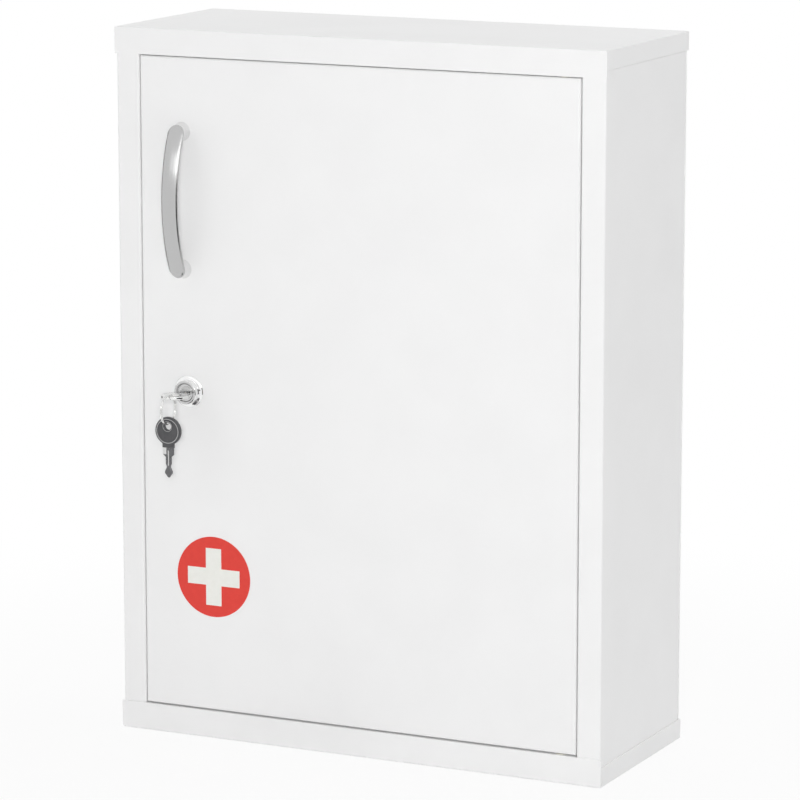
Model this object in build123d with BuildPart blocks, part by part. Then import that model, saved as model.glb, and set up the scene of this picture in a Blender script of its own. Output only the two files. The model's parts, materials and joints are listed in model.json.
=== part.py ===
"""Lockable steel medicine cabinet: a wall cabinet with one hinged door, a cam lock and its keys.

Frame: millimetres, +Z up, the door faces -Y, +X to the right of someone facing the door.
The origin is the centre of the cabinet's underside.
"""
from build123d import *
from math import sqrt
import os

# ---------------------------------------------------------------- driving dimensions
# Carcass
CABINET_WIDTH = 370.0
CABINET_DEPTH = 143.0
CABINET_HEIGHT = 500.0
CAP_SHEET = 1.0  # steel of the top and bottom caps
SHEET = 0.8  # steel of every other folded panel
BEND_RADIUS = 1.6  # outside radius of a fold
TOP_LIP = 18.5  # front lip of the top cap
TOP_SIDE_LIP = 13.2
BOTTOM_LIP = 19.5  # front lip of the bottom cap
BOTTOM_SIDE_LIP = 14.0
HEADER_DEPTH = 15.0  # flange behind each front lip, which holds a hinge bush
STRIP_WIDTH = 17.5  # front strip of each side panel
RETURN_DEPTH = 17.0  # how far the strip turns back beside the door
STOP_WIDTH = 9.0  # flange that the door closes against and the cam hooks behind
BACK_FLANGE = 12.0
SEAT_CLEARANCE = 0.3  # room between folded parts that are side by side
TOP_CORNER_SEAM = 0.5  # open seam where a side lip meets the front lip
BOTTOM_CORNER_SEAM = 1.0
LIP_GROOVE = 0.5  # shadow line in the side panels under the top cap's side lips
LIP_GROOVE_DEPTH = 0.3

# Back panel fixings
WALL_HOLE_DIAMETER = 6.5
WALL_HOLE_PITCH_X = 260.0
WALL_HOLE_FROM_END = 50.0  # wall screws from the top and bottom of the cabinet
RIVET_DIAMETER = 3.2
RIVET_HEAD_DIAMETER = 6.2
RIVET_HEAD_HEIGHT = 0.9
RIVET_TAIL_DIAMETER = 4.6
RIVET_TAIL_LENGTH = 2.4
RIVET_EDGE = 5.5  # rivet centre from the side of the back panel
RIVET_ROWS = 4
RIVET_FROM_END = 32.5  # outer rivets from the top and bottom of the cabinet

# Shelves
LOWER_SHELF_SHARE = 0.33  # top face, as a share of the cabinet's height
UPPER_SHELF_SHARE = 0.662
SHELF_SETBACK = 28.0  # shelf edge behind the front of the door
SHELF_LIP = 15.0
SHELF_HEM = 6.0
SHELF_CLEARANCE = 0.8
BRACKET_LEG = 14.0
BRACKET_SHEET = 1.2
BRACKET_LENGTH = 84.0
BRACKET_INSET = 10.0  # bracket end behind the shelf's front lip

# Door
DOOR_GAP = 0.8
DOOR_THICKNESS = 15.0
DOOR_RETURN = 10.0
STIFFENER_WIDTH = 44.0
STIFFENER_FLANGE = 10.0
STIFFENER_DEPTH = 11.0
STIFFENER_MARGIN = 26.0  # bare door above and below it

# Pin hinge at the right-hand edge of the door
PIVOT_FROM_EDGE = 12.0
PIVOT_BEHIND_FACE = 5.0
PIN_DIAMETER = 4.0
PIN_CLEARANCE = 0.05  # radial
PIN_GRIP = 3.5  # pin length above the door's fold
PIN_TAIL = 4.5  # pin length past the hinge bracket
BUSH_DIAMETER = 6.4
BUSH_FLANGE_DIAMETER = 8.4
BUSH_FLANGE = 0.5
BUSH_LENGTH = 4.0
HINGE_BRACKET_DROP = 16.0  # bracket below the door's fold
HINGE_BRACKET_LEG = 14.0
HINGE_BRACKET_WIDTH = 22.0
HINGE_BRACKET_SHEET = 1.5
CLIP_DIAMETER = 8.0
CLIP_THICKNESS = 0.8

# Buffers between door and stop flange
BUMPER_DIAMETER = 7.0
BUMPER_FROM_END = 60.0  # from the top and bottom of the cabinet

# Bow handle
HANDLE_INSET = 32.5  # handle's centre line from the door's left edge
HANDLE_BELOW_EDGE = 99.2  # middle of the handle below the door's upper edge
HANDLE_PITCH = 96.0  # screw centres
HANDLE_LENGTH = 106.0
HANDLE_WIDTH = 12.0
HANDLE_THICKNESS = 4.6
HANDLE_REACH = 20.8  # front of the bow from the door
HANDLE_END_REACH = 8.4  # front of the bow at its ends
HANDLE_FOOT_DIAMETER = 13.4  # on the door
HANDLE_FOOT_TAPER = 12.0  # degrees
HANDLE_EDGE = 1.6
SCREW_DIAMETER = 4.0
SCREW_HEAD_DIAMETER = 8.0
SCREW_HEAD_HEIGHT = 2.6
SCREW_BITE = 7.0  # screw length inside the foot
SCREW_WASHER_DIAMETER = 9.6
SCREW_WASHER_THICKNESS = 0.8
THREAD_CLEARANCE = 0.05

# Cam lock
LOCK_INSET = 36.4  # lock centre from the door's left edge
LOCK_BELOW_MIDDLE = 2.5  # lock below the middle of the cabinet
LOCK_FLANGE_DIAMETER = 22.6
LOCK_FLANGE_THICKNESS = 1.6
LOCK_NOSE_DIAMETER = 17.0
LOCK_NOSE_REACH = 6.5  # nose face from the door
LOCK_BODY_DIAMETER = 16.0
LOCK_BODY_FLATS = 13.6
LOCK_BODY_LENGTH = 17.2  # behind the door's face
LOCK_NUT_FLATS = 21.0
LOCK_NUT_THICKNESS = 3.6
LOCK_WASHER_DIAMETER = 21.0
LOCK_WASHER_THICKNESS = 0.8
PLUG_DIAMETER = 12.5
PLUG_CLEARANCE = 0.05  # radial
LOCK_NOSE_EDGE = 0.8
PLUG_RECESS = 0.5  # plug face below the nose face
PLUG_EDGE = 0.4
PLUG_GROOVE_DIAMETER = 10.2  # turned ring round the keyway
PLUG_GROOVE_WIDTH = 0.5
PLUG_GROOVE_DEPTH = 0.3
TENON_SIZE = 7.0  # square end of the plug inside the cam
CAM_THICKNESS = 2.0
CAM_WIDTH = 15.0
CAM_LENGTH = 33.0  # lock centre to cam tip
CAM_GAP = 0.8  # cam behind the stop flange
CAM_SCREW_HEAD = 9.4
CAM_SCREW_HEAD_HEIGHT = 2.2
CAM_SCREW_LENGTH = 5.0
WAFER_COUNT = 4
WAFER_WIDTH = 11.0
WAFER_HEIGHT = 5.6
WAFER_THICKNESS = 0.9
WAFER_PITCH = 2.6
WAFER_START = 5.5  # first wafer behind the plug face
WAFER_CLEARANCE = 0.1

# Keys
KEY_THICKNESS = 1.8
KEY_HEAD_DIAMETER = 19.5
KEY_HOLE_DIAMETER = 7.0
KEY_RIM = 2.4  # metal between hole and outer edge
KEY_COLLAR_WIDTH = 8.6
KEY_COLLAR_LENGTH = 3.0
KEY_SHANK_WIDTH = 8.0
KEY_SHANK_LENGTH = 5.8
KEY_STEM_WIDTH = 4.0
KEY_STEM_LENGTH = 7.8
KEY_TIP_WIDTH = 5.7
KEY_TIP_LENGTH = 7.4
KEY_GROOVE_WIDTH = 1.2
KEY_GROOVE_DEPTH = 0.35
KEY_STANDOFF = 2.5  # collar in front of the lock's nose
KEYWAY_CLEARANCE = 0.2
SPARE_HEAD_DIAMETER = 19.8
SPARE_HEAD_THICKNESS = 3.4
SPARE_HOLE_DIAMETER = 5.2
SPARE_RIM = 3.95  # plastic between hole and outer edge
SPARE_HEAD_EDGE = 0.9
SPARE_COLLAR_WIDTH = 8.8
SPARE_COLLAR_THICKNESS = 2.9
SPARE_TANG = 5.0  # blade length inside the moulded head

# Split ring
RING_DIAMETER = 20.5  # centre line of the wire
RING_RADIAL = 1.1
RING_WIDTH = 1.8
RING_SLIT = 0.2
RING_SLIT_DEPTH = 0.4
RING_DROP = 7.8  # ring centre below the key it hangs on
RING_OUTSET = 1.0  # ring centre in front of the middle of the key's rim
SPARE_DROP = 1.35  # hole centre of the spare key below the ring's wire

# First-aid emblem
EMBLEM_DIAMETER = 57.5
EMBLEM_THICKNESS = 0.3
EMBLEM_CROSS_LENGTH = 41.0
EMBLEM_CROSS_WIDTH = 12.2
EMBLEM_FROM_EDGE = 54.7  # centre from the door's left edge
EMBLEM_ABOVE_EDGE = 96.2  # centre above the door's lower edge

# ---------------------------------------------------------------- derived places
HALF_WIDTH = CABINET_WIDTH / 2
FRONT = -CABINET_DEPTH / 2
BACK = CABINET_DEPTH / 2
FACE = FRONT + CAP_SHEET  # front of the strips and of the door
SIDE = HALF_WIDTH - CAP_SHEET  # outside of the side panels
REAR = BACK - CAP_SHEET  # outside of the back panel
WALL_TOP = CABINET_HEIGHT - CAP_SHEET
MID_HEIGHT = CABINET_HEIGHT / 2
OPENING_HALF = SIDE - STRIP_WIDTH
OPENING_TOP = CABINET_HEIGHT - TOP_LIP
SIDE_LIP_EDGE = CABINET_HEIGHT - TOP_SIDE_LIP
STOP_FRONT = FACE + RETURN_DEPTH

DOOR_HALF = OPENING_HALF - DOOR_GAP
DOOR_LEFT = -DOOR_HALF
DOOR_BOTTOM = BOTTOM_LIP + DOOR_GAP
DOOR_TOP = OPENING_TOP - DOOR_GAP
DOOR_BACK = FACE + DOOR_THICKNESS
DOOR_INSIDE = FACE + SHEET  # rear face of the door's front sheet

PIVOT_X = DOOR_HALF - PIVOT_FROM_EDGE
PIVOT_Y = FACE + PIVOT_BEHIND_FACE
HANDLE_X = DOOR_LEFT + HANDLE_INSET
LATCH_X = DOOR_LEFT + LOCK_INSET
HANDLE_HEIGHT = DOOR_TOP - HANDLE_BELOW_EDGE
LOCK_HEIGHT = MID_HEIGHT - LOCK_BELOW_MIDDLE

WALL_HOLE_PITCH_Z = CABINET_HEIGHT - 2 * WALL_HOLE_FROM_END
RIVET_PITCH_X = 2 * (SIDE - RIVET_EDGE)
RIVET_PITCH_Z = (CABINET_HEIGHT - 2 * RIVET_FROM_END) / (RIVET_ROWS - 1)
BUMPER_PITCH = CABINET_HEIGHT - 2 * BUMPER_FROM_END

LOWER_SHELF_HEIGHT = LOWER_SHELF_SHARE * CABINET_HEIGHT
UPPER_SHELF_HEIGHT = UPPER_SHELF_SHARE * CABINET_HEIGHT
SHELF_FRONT = FACE + SHELF_SETBACK
SHELF_BACK = REAR - 2 * SHEET - RIVET_TAIL_LENGTH - SHELF_CLEARANCE
SHELF_HALF = SIDE - SHEET - SHELF_CLEARANCE

NOSE_FACE = FACE - LOCK_NOSE_REACH
PLUG_FACE = NOSE_FACE + PLUG_RECESS
LOCK_REAR = FACE + LOCK_BODY_LENGTH
CAM_FRONT = STOP_FRONT + SHEET + CAM_GAP
CAM_BACK = CAM_FRONT + CAM_THICKNESS

KEY_COLLAR_FACE = NOSE_FACE - KEY_STANDOFF
HEAD_RADIUS = KEY_HEAD_DIAMETER / 2
HOLE_RADIUS = KEY_HOLE_DIAMETER / 2
HOLE_FROM_CENTRE = HEAD_RADIUS - KEY_RIM - HOLE_RADIUS
HEAD_TO_COLLAR = sqrt(HEAD_RADIUS**2 - (KEY_COLLAR_WIDTH / 2) ** 2)  # where head and collar meet
KEY_HEAD_Y = KEY_COLLAR_FACE - KEY_COLLAR_LENGTH - HEAD_TO_COLLAR
KEY_RIM_Y = KEY_HEAD_Y - HEAD_RADIUS + KEY_RIM / 2
RING_Y = KEY_RIM_Y - RING_OUTSET
RING_Z = LOCK_HEIGHT - RING_DROP
WIRE_Z = RING_Z - RING_DIAMETER / 2
SPARE_HOLE_Z = WIRE_Z - SPARE_DROP
SPARE_RADIUS = SPARE_HEAD_DIAMETER / 2
SPARE_HEAD_Z = SPARE_HOLE_Z - SPARE_RADIUS + SPARE_RIM + SPARE_HOLE_DIAMETER / 2
SPARE_TO_COLLAR = sqrt(SPARE_RADIUS**2 - (SPARE_COLLAR_WIDTH / 2) ** 2)
SPARE_COLLAR_Z = SPARE_HEAD_Z - SPARE_TO_COLLAR - KEY_COLLAR_LENGTH

EMBLEM_X = DOOR_LEFT + EMBLEM_FROM_EDGE
EMBLEM_Z = DOOR_BOTTOM + EMBLEM_ABOVE_EDGE


# ---------------------------------------------------------------- helpers
def slab(x, y, z, mode=Mode.ADD):
    """Add or cut the box between two opposite corners, each axis given as a pair."""
    centre = tuple((pair[0] + pair[1]) / 2 for pair in (x, y, z))
    size = [abs(pair[1] - pair[0]) for pair in (x, y, z)]
    with Locations(centre):
        Box(*size, mode=mode)


def facing(x, y, z):
    """A plane that looks out of the front of the cabinet: right is +X, up is +Z, out is -Y."""
    return Plane(origin=(x, y, z), x_dir=(1, 0, 0), z_dir=(0, -1, 0))


def upright(x, y, z):
    """A plane that looks up along a vertical pin."""
    return Plane(origin=(x, y, z), x_dir=(1, 0, 0), z_dir=(0, 0, 1))


def folded(plane, points, thickness, side=Side.LEFT):
    """The section of a folded sheet on a plane, its outside face along the points."""
    with BuildSketch(plane) as section:
        with BuildLine():
            FilletPolyline(*points, radius=BEND_RADIUS)
            offset(amount=thickness, side=side)
        make_face()
    return section.sketch


def disc(plane, diameter, thickness, mode=Mode.ADD):
    """Add or cut a round stud that stands on a plane."""
    with BuildSketch(plane) as circle:
        Circle(diameter / 2)
    extrude(circle.sketch, amount=thickness, mode=mode)


def save(piece, label):
    """Name a finished piece and write it."""
    piece.part.label = label
    export_step(piece.part, f"parts/{label}.step")


os.makedirs("parts", exist_ok=True)


# ---------------------------------------------------------------- caps
def cap(outer_z, inward, front_lip, side_lip):
    """A folded tray that closes one end of the carcass; inward is +1 at the bottom, -1 at the top."""
    plate = (outer_z, outer_z + inward * CAP_SHEET)
    side_drop = (outer_z, outer_z + inward * side_lip)
    lip_edge = outer_z + inward * front_lip
    slab((-HALF_WIDTH, HALF_WIDTH), (FRONT, BACK), plate)
    slab((-HALF_WIDTH, HALF_WIDTH), (FRONT, FACE), (outer_z, lip_edge))
    slab((-HALF_WIDTH, HALF_WIDTH), (REAR, BACK), side_drop)
    for hand in (-1, 1):
        slab((hand * HALF_WIDTH, hand * SIDE), (FRONT, BACK), side_drop)
    # the front lip turns back between the side panels and holds the hinge bush
    header_half = OPENING_HALF - SEAT_CLEARANCE
    header = (lip_edge - inward * CAP_SHEET, lip_edge)
    slab((-header_half, header_half), (FRONT, FACE + HEADER_DEPTH), header)
    disc(upright(PIVOT_X, PIVOT_Y, min(header)), BUSH_DIAMETER, CAP_SHEET, mode=Mode.SUBTRACT)


def corner_seams(outer_z, inward, side_lip, width):
    """Cut the open seams where the side lips of a cap meet its front lip."""
    seam = (outer_z + inward * BEND_RADIUS, outer_z + inward * side_lip)
    for hand in (-1, 1):
        slab((hand * HALF_WIDTH, hand * SIDE), (FACE, FACE + width), seam, mode=Mode.SUBTRACT)


with BuildPart() as top_cap:
    cap(CABINET_HEIGHT, -1, TOP_LIP, TOP_SIDE_LIP)
    fillet(top_cap.faces().sort_by(Axis.Z)[-1].edges(), radius=CAP_SHEET)
    corner_seams(CABINET_HEIGHT, -1, TOP_SIDE_LIP, TOP_CORNER_SEAM)
save(top_cap, "top_cap")

with BuildPart() as bottom_cap:
    cap(0, 1, BOTTOM_LIP, BOTTOM_SIDE_LIP)
    fillet(bottom_cap.faces().sort_by(Axis.Z)[0].edges(), radius=CAP_SHEET)
    corner_seams(0, 1, BOTTOM_SIDE_LIP, BOTTOM_CORNER_SEAM)
save(bottom_cap, "bottom_cap")


# ---------------------------------------------------------------- side panels
def side_panel_path(with_stop):
    """Outside face of the left panel in plan, from its back flange round to the door opening."""
    points = [
        (-SIDE + BACK_FLANGE, REAR - SHEET),
        (-SIDE, REAR - SHEET),
        (-SIDE, FACE),
        (-OPENING_HALF, FACE),
        (-OPENING_HALF, STOP_FRONT),
    ]
    if with_stop:
        points.append((-OPENING_HALF + STOP_WIDTH, STOP_FRONT))
    return points


with BuildPart() as left_side_panel:
    section = folded(Plane.XY.offset(CAP_SHEET), side_panel_path(True), SHEET)
    extrude(section, amount=WALL_TOP - CAP_SHEET)
save(left_side_panel, "left_side_panel")

with BuildPart() as right_side_panel:
    section = folded(Plane.XY.offset(CAP_SHEET), side_panel_path(False), SHEET)
    extrude(section, amount=WALL_TOP - CAP_SHEET)
    mirror(about=Plane.YZ, mode=Mode.REPLACE)
save(right_side_panel, "right_side_panel")

# ---------------------------------------------------------------- back panel and its rivets
with BuildPart() as back_panel:
    slab((-SIDE, SIDE), (REAR - SHEET, REAR), (CAP_SHEET, WALL_TOP))
    with BuildSketch(facing(0, REAR, MID_HEIGHT)):
        with GridLocations(WALL_HOLE_PITCH_X, WALL_HOLE_PITCH_Z, 2, 2):
            Circle(WALL_HOLE_DIAMETER / 2)
        with GridLocations(RIVET_PITCH_X, RIVET_PITCH_Z, 2, RIVET_ROWS):
            Circle(RIVET_DIAMETER / 2)
    extrude(amount=SHEET, mode=Mode.SUBTRACT)
save(back_panel, "back_panel")

for panel, hand, label in (
    (left_side_panel, -1, "left_side_panel"),
    (right_side_panel, 1, "right_side_panel"),
):
    with panel:
        with BuildSketch(facing(hand * RIVET_PITCH_X / 2, REAR - SHEET, MID_HEIGHT)):
            with GridLocations(0, RIVET_PITCH_Z, 1, RIVET_ROWS):
                Circle(RIVET_DIAMETER / 2)
        extrude(amount=SHEET, mode=Mode.SUBTRACT)
        slab(
            (hand * SIDE, hand * (SIDE - LIP_GROOVE_DEPTH)),
            (FACE + BEND_RADIUS, REAR - SHEET - BEND_RADIUS),
            (SIDE_LIP_EDGE - LIP_GROOVE, SIDE_LIP_EDGE),
            mode=Mode.SUBTRACT,
        )
    save(panel, label)

with BuildPart() as back_panel_rivets:
    for y, diameter, length in (
        (REAR + RIVET_HEAD_HEIGHT, RIVET_HEAD_DIAMETER, RIVET_HEAD_HEIGHT),
        (REAR, RIVET_DIAMETER, 2 * SHEET),
        (REAR - 2 * SHEET, RIVET_TAIL_DIAMETER, RIVET_TAIL_LENGTH),
    ):
        with BuildSketch(facing(0, y, MID_HEIGHT)):
            with GridLocations(RIVET_PITCH_X, RIVET_PITCH_Z, 2, RIVET_ROWS):
                Circle(diameter / 2)
        extrude(amount=length)
    chamfer(back_panel_rivets.faces().sort_by(Axis.Y)[-2 * RIVET_ROWS :].edges(), RIVET_HEAD_HEIGHT / 2)
save(back_panel_rivets, "back_panel_rivets")


# ---------------------------------------------------------------- shelves
def shelf(top_z):
    """A tray shelf: flat top, front and back lips folded down and hemmed under."""
    lip_z = top_z - SHELF_LIP
    path = [
        (SHELF_FRONT + SHELF_HEM, lip_z),
        (SHELF_FRONT, lip_z),
        (SHELF_FRONT, top_z),
        (SHELF_BACK, top_z),
        (SHELF_BACK, lip_z),
        (SHELF_BACK - SHELF_HEM, lip_z),
    ]
    section = folded(Plane.YZ.offset(-SHELF_HALF), path, SHEET, side=Side.RIGHT)
    extrude(section, amount=2 * SHELF_HALF)


def shelf_brackets(top_z):
    """A pair of angle brackets on the side walls, under the shelf's flat top."""
    start = SHELF_FRONT + BRACKET_INSET
    seat = top_z - SHEET
    wall = SIDE - SHEET
    for hand in (-1, 1):
        run = (start, start + BRACKET_LENGTH)
        slab((hand * wall, hand * (wall - BRACKET_LEG)), run, (seat - BRACKET_SHEET, seat))
        slab((hand * wall, hand * (wall - BRACKET_SHEET)), run, (seat - BRACKET_LEG, seat))


for name, height in (("lower", LOWER_SHELF_HEIGHT), ("upper", UPPER_SHELF_HEIGHT)):
    with BuildPart() as shelf_tray:
        shelf(height)
    save(shelf_tray, f"{name}_shelf")
    with BuildPart() as bracket_pair:
        shelf_brackets(height)
    save(bracket_pair, f"{name}_shelf_brackets")

# ---------------------------------------------------------------- hinge bushes and buffers
BUSH_BORE = PIN_DIAMETER + 2 * PIN_CLEARANCE


def hinge_bush(seat_z, inward):
    """A flanged nylon bush pressed through a header; inward points from the header to the door."""
    flange_z = min(seat_z, seat_z + inward * BUSH_FLANGE)
    barrel_z = min(seat_z, seat_z - inward * BUSH_LENGTH)
    disc(upright(PIVOT_X, PIVOT_Y, flange_z), BUSH_FLANGE_DIAMETER, BUSH_FLANGE)
    disc(upright(PIVOT_X, PIVOT_Y, barrel_z), BUSH_DIAMETER, BUSH_LENGTH)
    low = min(flange_z, barrel_z)
    disc(upright(PIVOT_X, PIVOT_Y, low), BUSH_BORE, BUSH_FLANGE + BUSH_LENGTH, mode=Mode.SUBTRACT)


with BuildPart() as upper_hinge_bush:
    hinge_bush(OPENING_TOP, -1)
save(upper_hinge_bush, "upper_hinge_bush")

with BuildPart() as lower_hinge_bush:
    hinge_bush(BOTTOM_LIP, 1)
save(lower_hinge_bush, "lower_hinge_bush")

BUMPER_THICKNESS = STOP_FRONT - DOOR_BACK - SEAT_CLEARANCE
with BuildPart() as door_bumpers:
    bumper_x = -OPENING_HALF + BEND_RADIUS + SEAT_CLEARANCE + BUMPER_DIAMETER / 2
    with BuildSketch(facing(bumper_x, STOP_FRONT, MID_HEIGHT)):
        with GridLocations(0, BUMPER_PITCH, 1, 2):
            Circle(BUMPER_DIAMETER / 2)
    extrude(amount=BUMPER_THICKNESS)
    fillet(door_bumpers.faces().sort_by(Axis.Y)[:2].edges(), radius=BUMPER_THICKNESS / 3)
save(door_bumpers, "door_bumpers")

# ---------------------------------------------------------------- door shell
HANDLE_SCREWS = (HANDLE_HEIGHT - HANDLE_PITCH / 2, HANDLE_HEIGHT + HANDLE_PITCH / 2)
HINGE_SEATS = (DOOR_BOTTOM, DOOR_TOP)
STIFFENER_BOTTOM = DOOR_BOTTOM + STIFFENER_MARGIN
STIFFENER_TOP = DOOR_TOP - STIFFENER_MARGIN

with BuildPart() as door_pan:
    slab((-DOOR_HALF, DOOR_HALF), (FACE, DOOR_BACK), (DOOR_BOTTOM, DOOR_TOP))
    fillet(door_pan.faces().sort_by(Axis.Y)[0].edges(), radius=BEND_RADIUS)
    slab(
        (-DOOR_HALF + SHEET, DOOR_HALF - SHEET),
        (DOOR_INSIDE, DOOR_BACK - SHEET),
        (DOOR_BOTTOM + SHEET, DOOR_TOP - SHEET),
        mode=Mode.SUBTRACT,
    )
    slab(
        (-DOOR_HALF + DOOR_RETURN, DOOR_HALF - DOOR_RETURN),
        (DOOR_INSIDE, DOOR_BACK),
        (DOOR_BOTTOM + DOOR_RETURN, DOOR_TOP - DOOR_RETURN),
        mode=Mode.SUBTRACT,
    )
    for edge_z in HINGE_SEATS:
        fold_bottom = min(edge_z, DOOR_TOP - SHEET)
        disc(upright(PIVOT_X, PIVOT_Y, fold_bottom), PIN_DIAMETER, SHEET, mode=Mode.SUBTRACT)
    for screw_z in HANDLE_SCREWS:
        disc(facing(HANDLE_X, DOOR_INSIDE, screw_z), SCREW_DIAMETER, SHEET, mode=Mode.SUBTRACT)
    with BuildSketch(facing(LATCH_X, DOOR_INSIDE, LOCK_HEIGHT)):
        Circle(LOCK_BODY_DIAMETER / 2)
        Rectangle(LOCK_BODY_DIAMETER, LOCK_BODY_FLATS, mode=Mode.INTERSECT)
    extrude(amount=SHEET, mode=Mode.SUBTRACT)
save(door_pan, "door_pan")

with BuildPart() as door_stiffener:
    crown = DOOR_INSIDE + STIFFENER_DEPTH
    half = STIFFENER_WIDTH / 2
    brim = half - STIFFENER_FLANGE
    hat = [
        (-half, DOOR_INSIDE),
        (-brim, DOOR_INSIDE),
        (-brim, crown),
        (brim, crown),
        (brim, DOOR_INSIDE),
        (half, DOOR_INSIDE),
    ]
    section = folded(Plane.XY.offset(STIFFENER_BOTTOM), hat, SHEET)
    extrude(section, amount=STIFFENER_TOP - STIFFENER_BOTTOM)
save(door_stiffener, "door_stiffener")

# ---------------------------------------------------------------- pin hinge on the door
for name, edge_z, inward in (("lower", DOOR_BOTTOM, 1), ("upper", DOOR_TOP, -1)):
    plate_z = edge_z + inward * HINGE_BRACKET_DROP
    back_z = plate_z + inward * HINGE_BRACKET_SHEET
    plate = (PIVOT_X - HINGE_BRACKET_WIDTH / 2, DOOR_HALF - SHEET)
    with BuildPart() as hinge_bracket:
        # an angle: one leg lies on the door's front sheet, the other carries the pin
        slab(plate, (DOOR_INSIDE, DOOR_BACK - SHEET), (plate_z, back_z))
        slab(
            plate,
            (DOOR_INSIDE, DOOR_INSIDE + HINGE_BRACKET_SHEET),
            (plate_z, plate_z + inward * HINGE_BRACKET_LEG),
        )
        disc(
            upright(PIVOT_X, PIVOT_Y, min(plate_z, back_z)),
            PIN_DIAMETER,
            HINGE_BRACKET_SHEET,
            mode=Mode.SUBTRACT,
        )
        # the front leg is cut away round the clip
        clip_room = CLIP_THICKNESS + SEAT_CLEARANCE
        disc(
            upright(PIVOT_X, PIVOT_Y, min(back_z, back_z + inward * clip_room)),
            CLIP_DIAMETER + 2 * SEAT_CLEARANCE,
            clip_room,
            mode=Mode.SUBTRACT,
        )
    save(hinge_bracket, f"{name}_hinge_bracket")

    tail_z = back_z + inward * PIN_TAIL
    tip_z = edge_z - inward * PIN_GRIP
    with BuildPart() as hinge_pin:
        disc(upright(PIVOT_X, PIVOT_Y, min(tail_z, tip_z)), PIN_DIAMETER, abs(tail_z - tip_z))
        chamfer(hinge_pin.edges().filter_by(GeomType.CIRCLE), PIN_DIAMETER / 8)
    save(hinge_pin, f"{name}_hinge_pin")

with BuildPart() as hinge_clips:
    for edge_z, inward in ((DOOR_BOTTOM, 1), (DOOR_TOP, -1)):
        seat_z = edge_z + inward * (HINGE_BRACKET_DROP + HINGE_BRACKET_SHEET)
        with BuildSketch(upright(PIVOT_X, PIVOT_Y, min(seat_z, seat_z + inward * CLIP_THICKNESS))):
            Circle(CLIP_DIAMETER / 2)
            Circle(PIN_DIAMETER / 2, mode=Mode.SUBTRACT)
            with Locations((0, CLIP_DIAMETER / 2)):
                Rectangle(PIN_DIAMETER * 0.7, CLIP_DIAMETER, mode=Mode.SUBTRACT)
        extrude(amount=CLIP_THICKNESS)
save(hinge_clips, "hinge_clips")

# ---------------------------------------------------------------- handle
half_length = HANDLE_LENGTH / 2

with BuildPart() as handle_feet:
    with BuildSketch(facing(HANDLE_X, FACE, HANDLE_HEIGHT)):
        with GridLocations(0, HANDLE_PITCH, 1, 2):
            Circle(HANDLE_FOOT_DIAMETER / 2)
    extrude(amount=HANDLE_REACH / 2, taper=HANDLE_FOOT_TAPER)
    # the tapered feet end in the middle of the bow's thickness
    with BuildSketch(Plane.YZ.offset(HANDLE_X)):
        with BuildLine():
            middle_arc = ThreePointArc(
                (FACE - HANDLE_END_REACH + HANDLE_THICKNESS / 2, HANDLE_HEIGHT - half_length),
                (FACE - HANDLE_REACH + HANDLE_THICKNESS / 2, HANDLE_HEIGHT),
                (FACE - HANDLE_END_REACH + HANDLE_THICKNESS / 2, HANDLE_HEIGHT + half_length),
            )
            Polyline(
                middle_arc @ 1,
                (FACE - HANDLE_END_REACH + HANDLE_THICKNESS / 2, HANDLE_HEIGHT + HANDLE_LENGTH),
                (FACE, HANDLE_HEIGHT + HANDLE_LENGTH),
                (FACE, HANDLE_HEIGHT - HANDLE_LENGTH),
                (FACE - HANDLE_END_REACH + HANDLE_THICKNESS / 2, HANDLE_HEIGHT - HANDLE_LENGTH),
                middle_arc @ 0,
            )
        make_face()
    extrude(amount=HANDLE_FOOT_DIAMETER, both=True, mode=Mode.INTERSECT)

with BuildPart() as door_handle:
    # side view: a bow of even thickness, its back arc run on past both ends
    with BuildSketch(Plane.YZ.offset(HANDLE_X)):
        with BuildLine():
            front_arc = ThreePointArc(
                (FACE - HANDLE_END_REACH, HANDLE_HEIGHT - half_length),
                (FACE - HANDLE_REACH, HANDLE_HEIGHT),
                (FACE - HANDLE_END_REACH, HANDLE_HEIGHT + half_length),
            )
            back_arc = ThreePointArc(
                (FACE - HANDLE_END_REACH + HANDLE_THICKNESS, HANDLE_HEIGHT - half_length),
                (FACE - HANDLE_REACH + HANDLE_THICKNESS, HANDLE_HEIGHT),
                (FACE - HANDLE_END_REACH + HANDLE_THICKNESS, HANDLE_HEIGHT + half_length),
            )
            Line(front_arc @ 0, back_arc @ 0)
            Line(front_arc @ 1, back_arc @ 1)
        make_face()
    extrude(amount=HANDLE_WIDTH / 2, both=True)
    # front view: the ends of the bow are rounded
    with BuildSketch(facing(HANDLE_X, FACE, HANDLE_HEIGHT)):
        SlotOverall(HANDLE_LENGTH, HANDLE_WIDTH, rotation=90)
    extrude(amount=HANDLE_REACH, mode=Mode.INTERSECT)
    bow_front = door_handle.faces().sort_by(Axis.Y)[0]
    fillet(bow_front.edges(), radius=HANDLE_EDGE)
    add(handle_feet.part)
    with BuildSketch(facing(HANDLE_X, FACE, HANDLE_HEIGHT)):
        with GridLocations(0, HANDLE_PITCH, 1, 2):
            Circle(SCREW_DIAMETER / 2 + THREAD_CLEARANCE)
    extrude(amount=SCREW_BITE, mode=Mode.SUBTRACT)
save(door_handle, "door_handle")

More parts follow.
